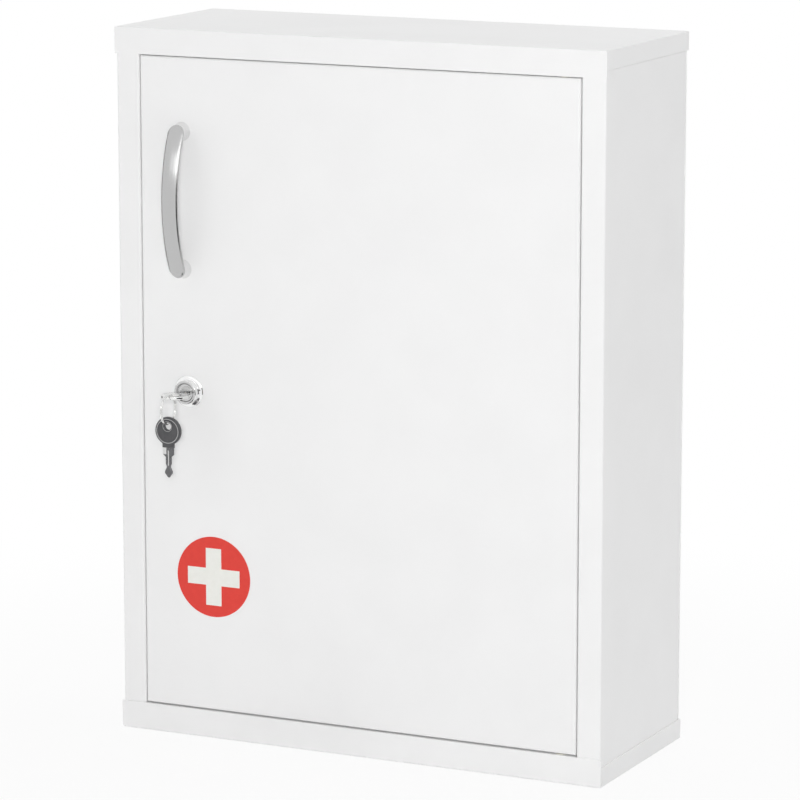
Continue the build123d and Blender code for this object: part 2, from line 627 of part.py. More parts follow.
with BuildPart() as handle_screws:
    under_head = DOOR_INSIDE + SCREW_WASHER_THICKNESS
    for y, diameter, length in (
        (under_head + SCREW_HEAD_HEIGHT, SCREW_HEAD_DIAMETER, SCREW_HEAD_HEIGHT),
        (under_head, SCREW_DIAMETER, under_head - FACE + SCREW_BITE - SEAT_CLEARANCE),
    ):
        with BuildSketch(facing(HANDLE_X, y, HANDLE_HEIGHT)):
            with GridLocations(0, HANDLE_PITCH, 1, 2):
                Circle(diameter / 2)
        extrude(amount=length)
    heads = handle_screws.faces().sort_by(Axis.Y)[-2:]
    fillet(heads.edges(), radius=SCREW_HEAD_HEIGHT / 3)
    with BuildSketch(facing(HANDLE_X, under_head + SCREW_HEAD_HEIGHT, HANDLE_HEIGHT)):
        with GridLocations(0, HANDLE_PITCH, 1, 2):
            Rectangle(SCREW_DIAMETER, SCREW_HEAD_HEIGHT / 4)
            Rectangle(SCREW_HEAD_HEIGHT / 4, SCREW_DIAMETER)
    extrude(amount=SCREW_HEAD_HEIGHT / 2, mode=Mode.SUBTRACT)
save(handle_screws, "handle_screws")

with BuildPart() as handle_washers:
    with BuildSketch(facing(HANDLE_X, DOOR_INSIDE + SCREW_WASHER_THICKNESS, HANDLE_HEIGHT)):
        with GridLocations(0, HANDLE_PITCH, 1, 2):
            Circle(SCREW_WASHER_DIAMETER / 2)
            Circle(SCREW_DIAMETER / 2, mode=Mode.SUBTRACT)
    extrude(amount=SCREW_WASHER_THICKNESS)
save(handle_washers, "handle_washers")

# ---------------------------------------------------------------- emblem
with BuildPart() as emblem_cross:
    with BuildSketch(facing(EMBLEM_X, FACE, EMBLEM_Z)):
        Rectangle(EMBLEM_CROSS_LENGTH, EMBLEM_CROSS_WIDTH)
        Rectangle(EMBLEM_CROSS_WIDTH, EMBLEM_CROSS_LENGTH)
    extrude(amount=EMBLEM_THICKNESS)
save(emblem_cross, "emblem_cross")

with BuildPart() as emblem_disc:
    with BuildSketch(facing(EMBLEM_X, FACE, EMBLEM_Z)):
        Circle(EMBLEM_DIAMETER / 2)
        Rectangle(EMBLEM_CROSS_LENGTH, EMBLEM_CROSS_WIDTH, mode=Mode.SUBTRACT)
        Rectangle(EMBLEM_CROSS_WIDTH, EMBLEM_CROSS_LENGTH, mode=Mode.SUBTRACT)
    extrude(amount=EMBLEM_THICKNESS)
save(emblem_disc, "emblem_disc")

# ---------------------------------------------------------------- cam lock, fixed parts
PLUG_BORE = PLUG_DIAMETER + 2 * PLUG_CLEARANCE

with BuildPart() as lock_housing:
    disc(facing(LATCH_X, FACE, LOCK_HEIGHT), LOCK_FLANGE_DIAMETER, LOCK_FLANGE_THICKNESS)
    fillet(lock_housing.faces().sort_by(Axis.Y)[0].edges(), radius=LOCK_FLANGE_THICKNESS / 2)
    disc(facing(LATCH_X, FACE, LOCK_HEIGHT), LOCK_NOSE_DIAMETER, LOCK_NOSE_REACH)
    fillet(lock_housing.faces().sort_by(Axis.Y)[0].edges(), radius=LOCK_NOSE_EDGE)
    with BuildSketch(facing(LATCH_X, LOCK_REAR, LOCK_HEIGHT)):
        Circle(LOCK_BODY_DIAMETER / 2)
        Rectangle(LOCK_BODY_DIAMETER, LOCK_BODY_FLATS, mode=Mode.INTERSECT)
    extrude(amount=LOCK_BODY_LENGTH)
    disc(
        facing(LATCH_X, LOCK_REAR, LOCK_HEIGHT),
        PLUG_BORE,
        LOCK_BODY_LENGTH + LOCK_NOSE_REACH,
        mode=Mode.SUBTRACT,
    )
save(lock_housing, "lock_housing")

with BuildPart() as lock_washer:
    with BuildSketch(facing(LATCH_X, DOOR_INSIDE + LOCK_WASHER_THICKNESS, LOCK_HEIGHT)):
        Circle(LOCK_WASHER_DIAMETER / 2)
        Circle(LOCK_BODY_DIAMETER / 2, mode=Mode.SUBTRACT)
    extrude(amount=LOCK_WASHER_THICKNESS)
save(lock_washer, "lock_washer")

with BuildPart() as lock_nut:
    nut_rear = DOOR_INSIDE + LOCK_WASHER_THICKNESS + LOCK_NUT_THICKNESS
    with BuildSketch(facing(LATCH_X, nut_rear, LOCK_HEIGHT)):
        RegularPolygon(LOCK_NUT_FLATS / 2, 6, major_radius=False)
        Circle(LOCK_BODY_DIAMETER / 2, mode=Mode.SUBTRACT)
    extrude(amount=LOCK_NUT_THICKNESS)
save(lock_nut, "lock_nut")

# ---------------------------------------------------------------- cam lock, turning parts
KEYWAY_HEIGHT = KEY_THICKNESS + 2 * KEYWAY_CLEARANCE
KEYWAY_WIDE = KEY_SHANK_WIDTH + 2 * KEYWAY_CLEARANCE
KEYWAY_NARROW = KEY_TIP_WIDTH + 2 * KEYWAY_CLEARANCE
KEY_BLADE_LENGTH = KEY_SHANK_LENGTH + KEY_STEM_LENGTH + KEY_TIP_LENGTH
KEY_INSERTION = KEY_BLADE_LENGTH - KEY_STANDOFF - PLUG_RECESS
WIDE_DEPTH = KEY_SHANK_LENGTH - KEY_STANDOFF - PLUG_RECESS + SEAT_CLEARANCE
WAFER_STARTS = [PLUG_FACE + WAFER_START + i * WAFER_PITCH for i in range(WAFER_COUNT)]

with BuildPart() as lock_plug:
    disc(facing(LATCH_X, CAM_FRONT, LOCK_HEIGHT), PLUG_DIAMETER, CAM_FRONT - PLUG_FACE)
    chamfer(lock_plug.faces().sort_by(Axis.Y)[0].edges(), PLUG_EDGE)
    with BuildSketch(facing(LATCH_X, PLUG_FACE + PLUG_GROOVE_DEPTH, LOCK_HEIGHT)):
        Circle((PLUG_GROOVE_DIAMETER + PLUG_GROOVE_WIDTH) / 2)
        Circle((PLUG_GROOVE_DIAMETER - PLUG_GROOVE_WIDTH) / 2, mode=Mode.SUBTRACT)
    extrude(amount=PLUG_GROOVE_DEPTH, mode=Mode.SUBTRACT)
    with BuildSketch(facing(LATCH_X, CAM_BACK, LOCK_HEIGHT)):
        Rectangle(TENON_SIZE, TENON_SIZE)
    extrude(amount=CAM_THICKNESS)
    slab(
        (LATCH_X - KEYWAY_NARROW / 2, LATCH_X + KEYWAY_NARROW / 2),
        (PLUG_FACE, PLUG_FACE + KEY_INSERTION + SEAT_CLEARANCE),
        (LOCK_HEIGHT - KEYWAY_HEIGHT / 2, LOCK_HEIGHT + KEYWAY_HEIGHT / 2),
        mode=Mode.SUBTRACT,
    )
    slab(
        (LATCH_X - KEYWAY_WIDE / 2, LATCH_X + KEYWAY_WIDE / 2),
        (PLUG_FACE, PLUG_FACE + WIDE_DEPTH),
        (LOCK_HEIGHT - KEYWAY_HEIGHT / 2, LOCK_HEIGHT + KEYWAY_HEIGHT / 2),
        mode=Mode.SUBTRACT,
    )
    for wafer_y in WAFER_STARTS:
        slab(
            (LATCH_X - PLUG_DIAMETER / 2, LATCH_X + PLUG_DIAMETER / 2),
            (wafer_y - WAFER_CLEARANCE, wafer_y + WAFER_THICKNESS + WAFER_CLEARANCE),
            (LOCK_HEIGHT - WAFER_HEIGHT / 2, LOCK_HEIGHT + WAFER_HEIGHT / 2),
            mode=Mode.SUBTRACT,
        )
    disc(
        facing(LATCH_X, CAM_BACK, LOCK_HEIGHT),
        SCREW_DIAMETER + 2 * THREAD_CLEARANCE,
        CAM_SCREW_LENGTH,
        mode=Mode.SUBTRACT,
    )
save(lock_plug, "lock_plug")

with BuildPart() as lock_wafers:
    for wafer_y in WAFER_STARTS:
        with BuildSketch(facing(LATCH_X, wafer_y + WAFER_THICKNESS, LOCK_HEIGHT)):
            Rectangle(WAFER_WIDTH, WAFER_HEIGHT)
            Rectangle(KEYWAY_NARROW, KEYWAY_HEIGHT, mode=Mode.SUBTRACT)
        extrude(amount=WAFER_THICKNESS)
save(lock_wafers, "lock_wafers")

with BuildPart() as lock_cam:
    with BuildSketch(facing(LATCH_X, CAM_BACK, LOCK_HEIGHT)):
        Circle(CAM_WIDTH / 2)
        with Locations((0, -(CAM_LENGTH - CAM_WIDTH / 2) / 2)):
            Rectangle(CAM_WIDTH, CAM_LENGTH - CAM_WIDTH / 2)
        with Locations((0, -CAM_LENGTH + CAM_WIDTH / 2)):
            Circle(CAM_WIDTH / 2)
        Rectangle(TENON_SIZE, TENON_SIZE, mode=Mode.SUBTRACT)
    extrude(amount=CAM_THICKNESS)
save(lock_cam, "lock_cam")

with BuildPart() as cam_screw:
    disc(
        facing(LATCH_X, CAM_BACK + CAM_SCREW_HEAD_HEIGHT, LOCK_HEIGHT),
        CAM_SCREW_HEAD,
        CAM_SCREW_HEAD_HEIGHT,
    )
    fillet(cam_screw.faces().sort_by(Axis.Y)[-1].edges(), radius=CAM_SCREW_HEAD_HEIGHT / 3)
    disc(
        facing(LATCH_X, CAM_BACK, LOCK_HEIGHT),
        SCREW_DIAMETER,
        CAM_SCREW_LENGTH - SEAT_CLEARANCE,
    )
    with BuildSketch(facing(LATCH_X, CAM_BACK + CAM_SCREW_HEAD_HEIGHT, LOCK_HEIGHT)):
        Rectangle(SCREW_DIAMETER, CAM_SCREW_HEAD_HEIGHT / 3)
        Rectangle(CAM_SCREW_HEAD_HEIGHT / 3, SCREW_DIAMETER)
    extrude(amount=CAM_SCREW_HEAD_HEIGHT / 2, mode=Mode.SUBTRACT)
save(cam_screw, "cam_screw")


# ---------------------------------------------------------------- keys
def blade(plane):
    """Add a blade: shank, stem and spade tip; the collar's lower edge is at the plane's origin."""
    half_shank = KEY_SHANK_WIDTH / 2
    half_stem = KEY_STEM_WIDTH / 2
    stem_end = -KEY_SHANK_LENGTH - KEY_STEM_LENGTH
    tip_end = stem_end - KEY_TIP_LENGTH
    spread = stem_end - KEY_TIP_LENGTH * 0.4
    flank = (half_shank - half_stem) / 2
    right = [
        (half_shank, 0),
        (half_shank, -KEY_SHANK_LENGTH + flank),
        (half_stem, -KEY_SHANK_LENGTH),
        (half_stem, stem_end),
        (KEY_TIP_WIDTH / 2, spread),
    ]
    left = [(-x, y) for x, y in reversed(right)]
    with BuildSketch(plane) as outline:
        with BuildLine():
            Polyline(*right, (0, tip_end), *left, close=True)
        make_face()
    extrude(outline.sketch, amount=KEY_THICKNESS / 2, both=True)
    # a guide groove is milled along both faces
    length = KEY_SHANK_LENGTH + KEY_STEM_LENGTH
    groove_floor = KEY_THICKNESS / 2 - KEY_GROOVE_DEPTH
    for level in (-KEY_THICKNESS / 2, groove_floor):
        with BuildSketch(plane.offset(level)) as groove:
            with Locations((0, -length / 2)):
                SlotOverall(length - KEY_GROOVE_WIDTH, KEY_GROOVE_WIDTH, rotation=90)
        extrude(groove.sketch, amount=KEY_GROOVE_DEPTH, mode=Mode.SUBTRACT)


# the key in the lock lies flat: its local up is -Y, out of the door
inserted_plane = Plane(origin=(LATCH_X, KEY_COLLAR_FACE, LOCK_HEIGHT), x_dir=(-1, 0, 0), z_dir=(0, 0, 1))
with BuildPart() as inserted_key:
    blade(inserted_plane)
    with BuildSketch(inserted_plane.offset(-KEY_THICKNESS / 2)):
        with Locations((0, KEY_COLLAR_LENGTH / 2)):
            Rectangle(KEY_COLLAR_WIDTH, KEY_COLLAR_LENGTH)
        with Locations((0, KEY_COLLAR_LENGTH + HEAD_TO_COLLAR)):
            Circle(HEAD_RADIUS)
        with Locations((0, KEY_COLLAR_LENGTH + HEAD_TO_COLLAR + HOLE_FROM_CENTRE)):
            Circle(HOLE_RADIUS, mode=Mode.SUBTRACT)
    extrude(amount=KEY_THICKNESS)
save(inserted_key, "inserted_key")

# the spare key hangs upright from the ring, its face to the front
spare_plane = facing(LATCH_X, RING_Y, SPARE_COLLAR_Z)
with BuildPart() as spare_key_blade:
    blade(spare_plane)
    with BuildSketch(spare_plane.offset(-KEY_THICKNESS / 2)):
        with Locations((0, SPARE_TANG / 2)):
            Rectangle(KEY_SHANK_WIDTH, SPARE_TANG)
    extrude(amount=KEY_THICKNESS)
save(spare_key_blade, "spare_key_blade")

with BuildPart() as spare_key_head:
    head_back = facing(LATCH_X, RING_Y + SPARE_HEAD_THICKNESS / 2, SPARE_HEAD_Z)
    disc(head_back, SPARE_HEAD_DIAMETER, SPARE_HEAD_THICKNESS)
    fillet(spare_key_head.edges().filter_by(GeomType.CIRCLE), radius=SPARE_HEAD_EDGE)
    slab(
        (LATCH_X - SPARE_COLLAR_WIDTH / 2, LATCH_X + SPARE_COLLAR_WIDTH / 2),
        (RING_Y - SPARE_COLLAR_THICKNESS / 2, RING_Y + SPARE_COLLAR_THICKNESS / 2),
        (SPARE_COLLAR_Z, SPARE_HEAD_Z),
    )
    disc(
        facing(LATCH_X, RING_Y + SPARE_HEAD_THICKNESS / 2, SPARE_HOLE_Z),
        SPARE_HOLE_DIAMETER,
        SPARE_HEAD_THICKNESS,
        mode=Mode.SUBTRACT,
    )
    slab(
        (LATCH_X - KEY_SHANK_WIDTH / 2, LATCH_X + KEY_SHANK_WIDTH / 2),
        (RING_Y - KEY_THICKNESS / 2, RING_Y + KEY_THICKNESS / 2),
        (SPARE_COLLAR_Z, SPARE_COLLAR_Z + SPARE_TANG),
        mode=Mode.SUBTRACT,
    )
save(spare_key_head, "spare_key_head")

# ---------------------------------------------------------------- split ring
with BuildPart() as key_ring:
    with BuildSketch(Plane(origin=(LATCH_X, RING_Y, RING_Z), x_dir=(1, 0, 0), z_dir=(0, -1, 0))):
        with Locations((0, RING_DIAMETER / 2)):
            RectangleRounded(RING_WIDTH, RING_RADIAL, RING_RADIAL / 3)
        with Locations((0, (RING_DIAMETER + RING_RADIAL) / 2)):
            Rectangle(RING_SLIT, 2 * RING_SLIT_DEPTH, mode=Mode.SUBTRACT)
    revolve(axis=Axis((LATCH_X, RING_Y, RING_Z), (1, 0, 0)))
save(key_ring, "key_ring")
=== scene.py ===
"""Looks of a lockable sheet-steel medicine cabinet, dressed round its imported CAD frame.

Everything is in metres in the CAD's own frame: +Z up, the door faces -Y, +X to the right.
Sizes that belong to one piece are fields of its class in millimetres; places come from the frame.
"""

import json
import logging
import math
from dataclasses import dataclass, field
from enum import Enum
from typing import Any, Sequence

import bmesh
import bpy
import numpy as np
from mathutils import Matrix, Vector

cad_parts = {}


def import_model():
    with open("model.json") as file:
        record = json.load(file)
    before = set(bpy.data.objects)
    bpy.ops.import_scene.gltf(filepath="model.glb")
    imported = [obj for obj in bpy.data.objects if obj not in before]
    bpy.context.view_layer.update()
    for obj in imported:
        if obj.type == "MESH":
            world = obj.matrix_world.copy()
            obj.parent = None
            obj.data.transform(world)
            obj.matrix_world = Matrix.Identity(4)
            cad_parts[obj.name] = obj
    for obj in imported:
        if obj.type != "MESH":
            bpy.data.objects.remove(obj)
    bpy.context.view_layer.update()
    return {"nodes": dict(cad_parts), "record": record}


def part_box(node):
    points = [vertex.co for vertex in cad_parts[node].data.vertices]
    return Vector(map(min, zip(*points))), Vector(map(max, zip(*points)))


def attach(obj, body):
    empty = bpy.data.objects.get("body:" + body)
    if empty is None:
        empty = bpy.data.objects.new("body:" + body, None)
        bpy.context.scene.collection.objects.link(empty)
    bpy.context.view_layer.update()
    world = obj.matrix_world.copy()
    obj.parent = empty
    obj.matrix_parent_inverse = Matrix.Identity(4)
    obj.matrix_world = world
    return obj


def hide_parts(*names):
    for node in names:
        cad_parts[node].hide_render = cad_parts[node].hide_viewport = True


MM = 0.001
SMOOTH_ANGLE = math.radians(32)
Tree = bpy.types.NodeTree
Socket = bpy.types.NodeSocket
Piece = bpy.types.Object
log = logging.getLogger("medicine_cabinet")


# ---------------------------------------------------------------- colours and shader nodes
def linear(hex_colour: str) -> tuple[float, float, float, float]:
    """Turn an sRGB hex colour into Blender's linear RGBA.

    Args:
        hex_colour: six hex digits, such as "F3F3F1".

    Returns:
        Linear red, green, blue and an alpha of 1.
    """
    srgb = np.array([int(hex_colour[i : i + 2], 16) for i in (0, 2, 4)]) / 255.0
    lin = np.where(srgb <= 0.04045, srgb / 12.92, ((srgb + 0.055) / 1.055) ** 2.4)
    return (float(lin[0]), float(lin[1]), float(lin[2]), 1.0)


def add_node(
    tree: Tree, kind: str, settings: dict[str, Any] | None = None, **links: Any
) -> bpy.types.Node:
    """Add one shader node with its settings, input values and links.

    Args:
        tree: the node tree it goes into.
        kind: the node's Blender type.
        settings: the node's own properties.
        **links: input name, with _ for a space, to a value or to another node's output socket.

    Returns:
        The new node.
    """
    node = tree.nodes.new(kind)
    for name, value in (settings or {}).items():
        setattr(node, name, value)
    for name, value in links.items():
        socket = node.inputs[int(name[1:])] if name[1:].isdigit() else node.inputs[name.replace("_", " ")]
        if isinstance(value, Socket):
            tree.links.new(value, socket)
        else:
            socket.default_value = value
    return node


def surface_tree(name: str) -> tuple[bpy.types.Material, Tree, Socket]:
    """Start a material that reads Object coordinates.

    Args:
        name: the material's name.

    Returns:
        The material, its empty node tree and the Object coordinate socket.
    """
    made = bpy.data.materials.new(name)
    made.use_nodes = True
    tree = made.node_tree
    tree.nodes.clear()
    return made, tree, add_node(tree, "ShaderNodeTexCoord").outputs["Object"]


def close_surface(tree: Tree, shader: bpy.types.Node) -> None:
    """Link a shader to the material's output."""
    add_node(tree, "ShaderNodeOutputMaterial", Surface=shader.outputs[0])


def mix_painted_highlight_and_wear(tree: Tree, base: Any, highlight_and_wear_colour: str) -> Socket:
    """Mix in a lighter colour, painted highlight and in places wear, by "painted_highlight_and_wear".

    Args:
        tree: the material's node tree.
        base: the colour, or the socket that gives it, where nothing is painted lighter.
        highlight_and_wear_colour: the colour painted as highlight and wear, as sRGB hex.

    Returns:
        The mixed colour.
    """
    # The attribute marks where the colour is painted lighter: painted highlight and, on key heads, wear.
    painted_highlight_and_wear = add_node(tree, "ShaderNodeAttribute", {"attribute_name": "painted_highlight_and_wear"})
    mixed = add_node(
        tree, "ShaderNodeMix", {"data_type": "RGBA"}, Factor=painted_highlight_and_wear.outputs["Fac"], _6=base, _7=linear(highlight_and_wear_colour)
    )
    return mixed.outputs[2]


def clouded(
    tree: Tree, where: Socket, size_mm: float, detail: float, colours: tuple[str, str], spread: float
) -> Socket:
    """Drift between two colours in soft clouds.

    Args:
        tree: the material's node tree.
        where: the coordinates of the surface.
        size_mm: the size of a cloud.
        detail: the octaves of its noise.
        colours: the colours at the noise's low and high values, as sRGB hex.
        spread: how far from the noise's middle, 0.5, each is reached.

    Returns:
        The colour.
    """
    cloud = add_node(tree, "ShaderNodeTexNoise", Vector=where, Scale=1 / (size_mm * MM), Detail=detail)
    ramp = add_node(tree, "ShaderNodeValToRGB", Fac=cloud.outputs["Fac"])
    for stop, side, colour in zip(ramp.color_ramp.elements, (-1, 1), colours):
        stop.position = 0.5 + side * spread
        stop.color = linear(colour)
    return ramp.outputs["Color"]


def grained(
    tree: Tree, where: Socket, size_mm: float, detail: float, depth_mm: float
) -> tuple[Socket, Socket]:
    """Roughen a surface with a fine grain.

    Args:
        tree: the material's node tree.
        where: the coordinates of the surface.
        size_mm: the size of a grain.
        detail: the octaves of its noise.
        depth_mm: the depth from the noise's high to its low end.

    Returns:
        The height of the grain as a share, and the bumped normal.
    """
    grain = add_node(tree, "ShaderNodeTexNoise", Vector=where, Scale=1 / (size_mm * MM), Detail=detail)
    height = grain.outputs["Fac"]
    bump = add_node(tree, "ShaderNodeBump", Height=height, Distance=depth_mm * MM, Strength=1.0)
    return height, bump.outputs["Normal"]


# ---------------------------------------------------------------- finishes
@dataclass(frozen=True)
class PowderCoat:
    """Polyester powder baked on folded steel.

    The melted powder sets as a satin film with a faint orange peel, so the light spreads softly and
    a shallow ripple breaks up what it reflects; the white is neutral and hardly varies.
    """

    name: str = "powder_coated_steel"
    colour: str = "F5F5F5"
    shade: str = "F3F3F3"
    roughness: float = 0.40
    roughness_spread: float = 0.04
    peel_mm: float = 1.6
    peel_depth_mm: float = 0.010
    cloud_mm: float = 60.0
    ior: float = 1.5

    def material(self) -> bpy.types.Material:
        """Build the node material."""
        made, tree, where = surface_tree(self.name)
        colour = clouded(tree, where, self.cloud_mm, 2.0, (self.shade, self.colour), spread=0.15)
        peel, normal = grained(tree, where, self.peel_mm, 1.5, self.peel_depth_mm)
        satin = add_node(
            tree,
            "ShaderNodeMapRange",
            Value=peel,
            To_Min=self.roughness - self.roughness_spread,
            To_Max=self.roughness + self.roughness_spread,
        )
        shader = add_node(
            tree,
            "ShaderNodeBsdfPrincipled",
            Base_Color=colour,
            Roughness=satin.outputs["Result"],
            Normal=normal,
            IOR=self.ior,
        )
        close_surface(tree, shader)
        return made


@dataclass(frozen=True)
class MetalSurface:
    """A metal surface: chrome, nickel or zinc plating, or bare steel or brass.

    Plating follows the polish below it. Fine lines along the polishing direction stretch the
    highlights, and a faint cloudiness in the roughness keeps large flats from looking like mirrors.
    Where the attribute marks it, a lighter colour is painted on in place of highlights.
    """

    name: str
    colour: str
    roughness: float
    line_mm: float = 0.25
    line_depth_mm: float = 0.0
    line_stretch: tuple[float, float, float] = (1.0, 1.0, 0.04)
    # painted highlight: the lighter colour for the marked places
    highlight_and_wear_colour: str | None = None
    cloud_mm: float = 6.0
    cloud: float = 0.04

    def material(self) -> bpy.types.Material:
        """Build the node material."""
        made, tree, where = surface_tree(self.name)
        cloud = add_node(tree, "ShaderNodeTexNoise", Vector=where, Scale=1 / (self.cloud_mm * MM), Detail=3.0)
        rough = add_node(
            tree,
            "ShaderNodeMapRange",
            Value=cloud.outputs["Fac"],
            To_Min=max(self.roughness - self.cloud, 0.02),
            To_Max=self.roughness + self.cloud,
        )
        stretched = add_node(tree, "ShaderNodeMapping", Vector=where, Scale=self.line_stretch)
        _, normal = grained(tree, stretched.outputs["Vector"], self.line_mm, 2.0, self.line_depth_mm)
        shader = add_node(
            tree,
            "ShaderNodeBsdfPrincipled",
            Base_Color=linear(self.colour),
            Metallic=1.0,
            Roughness=rough.outputs["Result"],
            Normal=normal,
        )
        # Painted highlight: marked places take the lighter colour instead of real reflections.
        if self.highlight_and_wear_colour is not None:
            tree.links.new(mix_painted_highlight_and_wear(tree, linear(self.colour), self.highlight_and_wear_colour), shader.inputs["Base Color"])
        close_surface(tree, shader)
        return made


@dataclass(frozen=True)
class MouldedPlastic:
    """Injection-moulded plastic or rubber.

    A spark-eroded mould leaves an even fine grain, so the surface is matt with a soft sheen, and the
    colour varies a little from flow in the mould. Raised lines are painted lighter, as wear and as
    painted highlight.
    """

    name: str
    colour: str
    shade: str
    roughness: float
    # lighter colour of the raised lines: wear and painted highlight
    highlight_and_wear_colour: str | None = None
    grain_mm: float = 0.35
    grain_depth_mm: float = 0.01
    flow_mm: float = 7.0
    ior: float = 1.5

    def material(self) -> bpy.types.Material:
        """Build the node material."""
        made, tree, where = surface_tree(self.name)
        colour = clouded(tree, where, self.flow_mm, 3.0, (self.shade, self.colour), spread=0.2)
        # Wear and painted highlight: the marked raised lines take the lighter colour.
        if self.highlight_and_wear_colour is not None:
            colour = mix_painted_highlight_and_wear(tree, colour, self.highlight_and_wear_colour)
        _, normal = grained(tree, where, self.grain_mm, 2.0, self.grain_depth_mm)
        shader = add_node(
            tree,
            "ShaderNodeBsdfPrincipled",
            Base_Color=colour,
            Roughness=self.roughness,
            Normal=normal,
            IOR=self.ior,
        )
        close_surface(tree, shader)
        return made


@dataclass(frozen=True)
class VinylFilm:
    """Screen-printed vinyl film stuck on the paint.

    The ink lies flat with a faint mottle, and the film's smooth top gives it a slightly sharper
    gloss than the paint round it.
    """

    name: str
    colour: str
    shade: str
    roughness: float = 0.32
    mottle_mm: float = 3.0
    ripple_mm: float = 9.0
    ripple_depth_mm: float = 0.02
    ior: float = 1.46

    def material(self) -> bpy.types.Material:
        """Build the node material."""
        made, tree, where = surface_tree(self.name)
        colour = clouded(tree, where, self.mottle_mm, 4.0, (self.shade, self.colour), spread=0.2)
        _, normal = grained(tree, where, self.ripple_mm, 1.0, self.ripple_depth_mm)
        shader = add_node(
            tree,
            "ShaderNodeBsdfPrincipled",
            Base_Color=colour,
            Roughness=self.roughness,
            Normal=normal,
            IOR=self.ior,
        )
        close_surface(tree, shader)
        return made


class Finish(Enum):
    """The finishes of the cabinet, one for each material slot of the record."""

    POWDER = ("powder_coat", PowderCoat())
    # Handle: the feet are painted EAEAEA, a painted reflection of the white door round them.
    HANDLE = (
        "handle_chrome", MetalSurface("satin_chromed_zinc_casting", "BEBEBE", 0.20, 0.3, 0.003, highlight_and_wear_colour="EAEAEA")
    )
    # Lock: the flange and the nose's side are painted F2F2F2, a painted highlight.
    LOCK = (
        "lock_chrome", MetalSurface("polished_chromed_zinc_casting", "C8C8C8", 0.08, 0.2, 0.0, highlight_and_wear_colour="F2F2F2")
    )
    NICKEL = ("nickel", MetalSurface("nickel_plated_steel", "EAEAE9", 0.11, 0.2, 0.001))
    # Key blade: its steel is painted a dark 6E6E70 as painted reflection of dark surroundings.
    # Key blade: the groove and the step are painted D8D8D8, a painted highlight.
    KEY_STEEL = (
        "key_steel", MetalSurface("milled_bare_steel", "6E6E70", 0.28, 0.15, 0.003, (1.0, 1.0, 0.1), "D8D8D8")
    )
    ZINC = ("zinc_plate", MetalSurface("bright_zinc_plated_steel", "B9BDC4", 0.30, 0.4, 0.004))
    BRASS = ("brass_wafer", MetalSurface("stamped_brass", "C9A35A", 0.30, 0.2, 0.002))
    # Spare key head: raised crests are painted B4B4B4, as wear and as painted highlight.
    KEY_PLASTIC = ("key_plastic", MouldedPlastic("moulded_grey_plastic", "505052", "454547", 0.38, "B4B4B4"))
    NYLON = ("nylon", MouldedPlastic("moulded_natural_nylon", "E9E6DA", "E2DFD2", 0.45))
    RUBBER = ("rubber", MouldedPlastic("moulded_clear_grey_rubber", "CFCFCB", "C6C6C2", 0.55))
    RED = ("vinyl_red", VinylFilm("printed_red_vinyl_film", "E33E33", "DF3A30"))
    WHITE = ("vinyl_white", VinylFilm("printed_white_vinyl_film", "F1F1EC", "EEEEE8"))

    @property
    def slot(self) -> str:
        """Name of the record's material slot."""
        return self.value[0]

    @property
    def recipe(self) -> Any:
        """The finish's own dataclass."""
        return self.value[1]


@dataclass
class Paintshop:
    """Keeps one material for each finish and puts it on pieces."""

    made: dict[Finish, bpy.types.Material] = field(default_factory=dict)

    def material(self, finish: Finish) -> bpy.types.Material:
        """Return the finish's material, and build it the first time."""
        if finish not in self.made:
            self.made[finish] = finish.recipe.material()
        return self.made[finish]

    def paint(self, piece: Piece, finish: Finish) -> None:
        """Give a piece one finish all over."""
        piece.data.materials.clear()
        piece.data.materials.append(self.material(finish))


# ---------------------------------------------------------------- surfaces on a grid
def shell(
    name: str,
    grid: np.ndarray,
    wrap_u: bool,
    wrap_v: bool,
    cap_ends: bool = False,
    painted_highlight_and_wear: np.ndarray | float | None = None,
) -> Piece:
    """Turn a grid of points into a welded, outward-facing mesh object at the origin.

    Each cell of the grid is one quad. A direction that wraps joins its last row to its first, and
    end caps close an open tube. Points that coincide, as at a pole, are welded.

    Args:
        name: the piece's name.
        grid: points in metres, shape (u, v, 3).
        wrap_u: the first index closes on itself.
        wrap_v: the second index closes on itself.
        cap_ends: close the first and the last row with a face each.
        painted_highlight_and_wear: share painted lighter per row or point, kept as that attribute.

    Returns:
        The new object, linked to the scene.
    """
    rows, columns = grid.shape[:2]
    index = np.arange(rows * columns).reshape(rows, columns)
    across = np.roll(index, -1, axis=1)
    along = np.roll(index, -1, axis=0)
    corner = np.roll(along, -1, axis=1)
    quads = np.stack([index, along, corner, across], axis=-1)
    quads = quads[: rows if wrap_u else rows - 1, : columns if wrap_v else columns - 1]
    faces = quads.reshape(-1, 4).tolist()
    if cap_ends:
        faces.append(index[0].tolist())
        faces.append(index[-1][::-1].tolist())
    mesh = bpy.data.meshes.new(name)
    mesh.from_pydata(grid.reshape(-1, 3).tolist(), [], faces)
    # Painted highlight and wear: how far each point is painted lighter, kept as an attribute.
    if painted_highlight_and_wear is not None:
        shares = np.broadcast_to(painted_highlight_and_wear, (rows, columns)).astype(np.float32)
        mesh.attributes.new("painted_highlight_and_wear", "FLOAT", "POINT").data.foreach_set("value", shares.ravel())
    work = bmesh.new()
    work.from_mesh(mesh)
    bmesh.ops.remove_doubles(work, verts=work.verts, dist=1e-7)
    bmesh.ops.recalc_face_normals(work, faces=work.faces)
    work.to_mesh(mesh)
    work.free()
    mesh.polygons.foreach_set("use_smooth", np.ones(len(mesh.polygons), dtype=bool))
    mesh.set_sharp_from_angle(angle=SMOOTH_ANGLE)
    made = bpy.data.objects.new(name, mesh)
    bpy.context.scene.collection.objects.link(made)
    return made


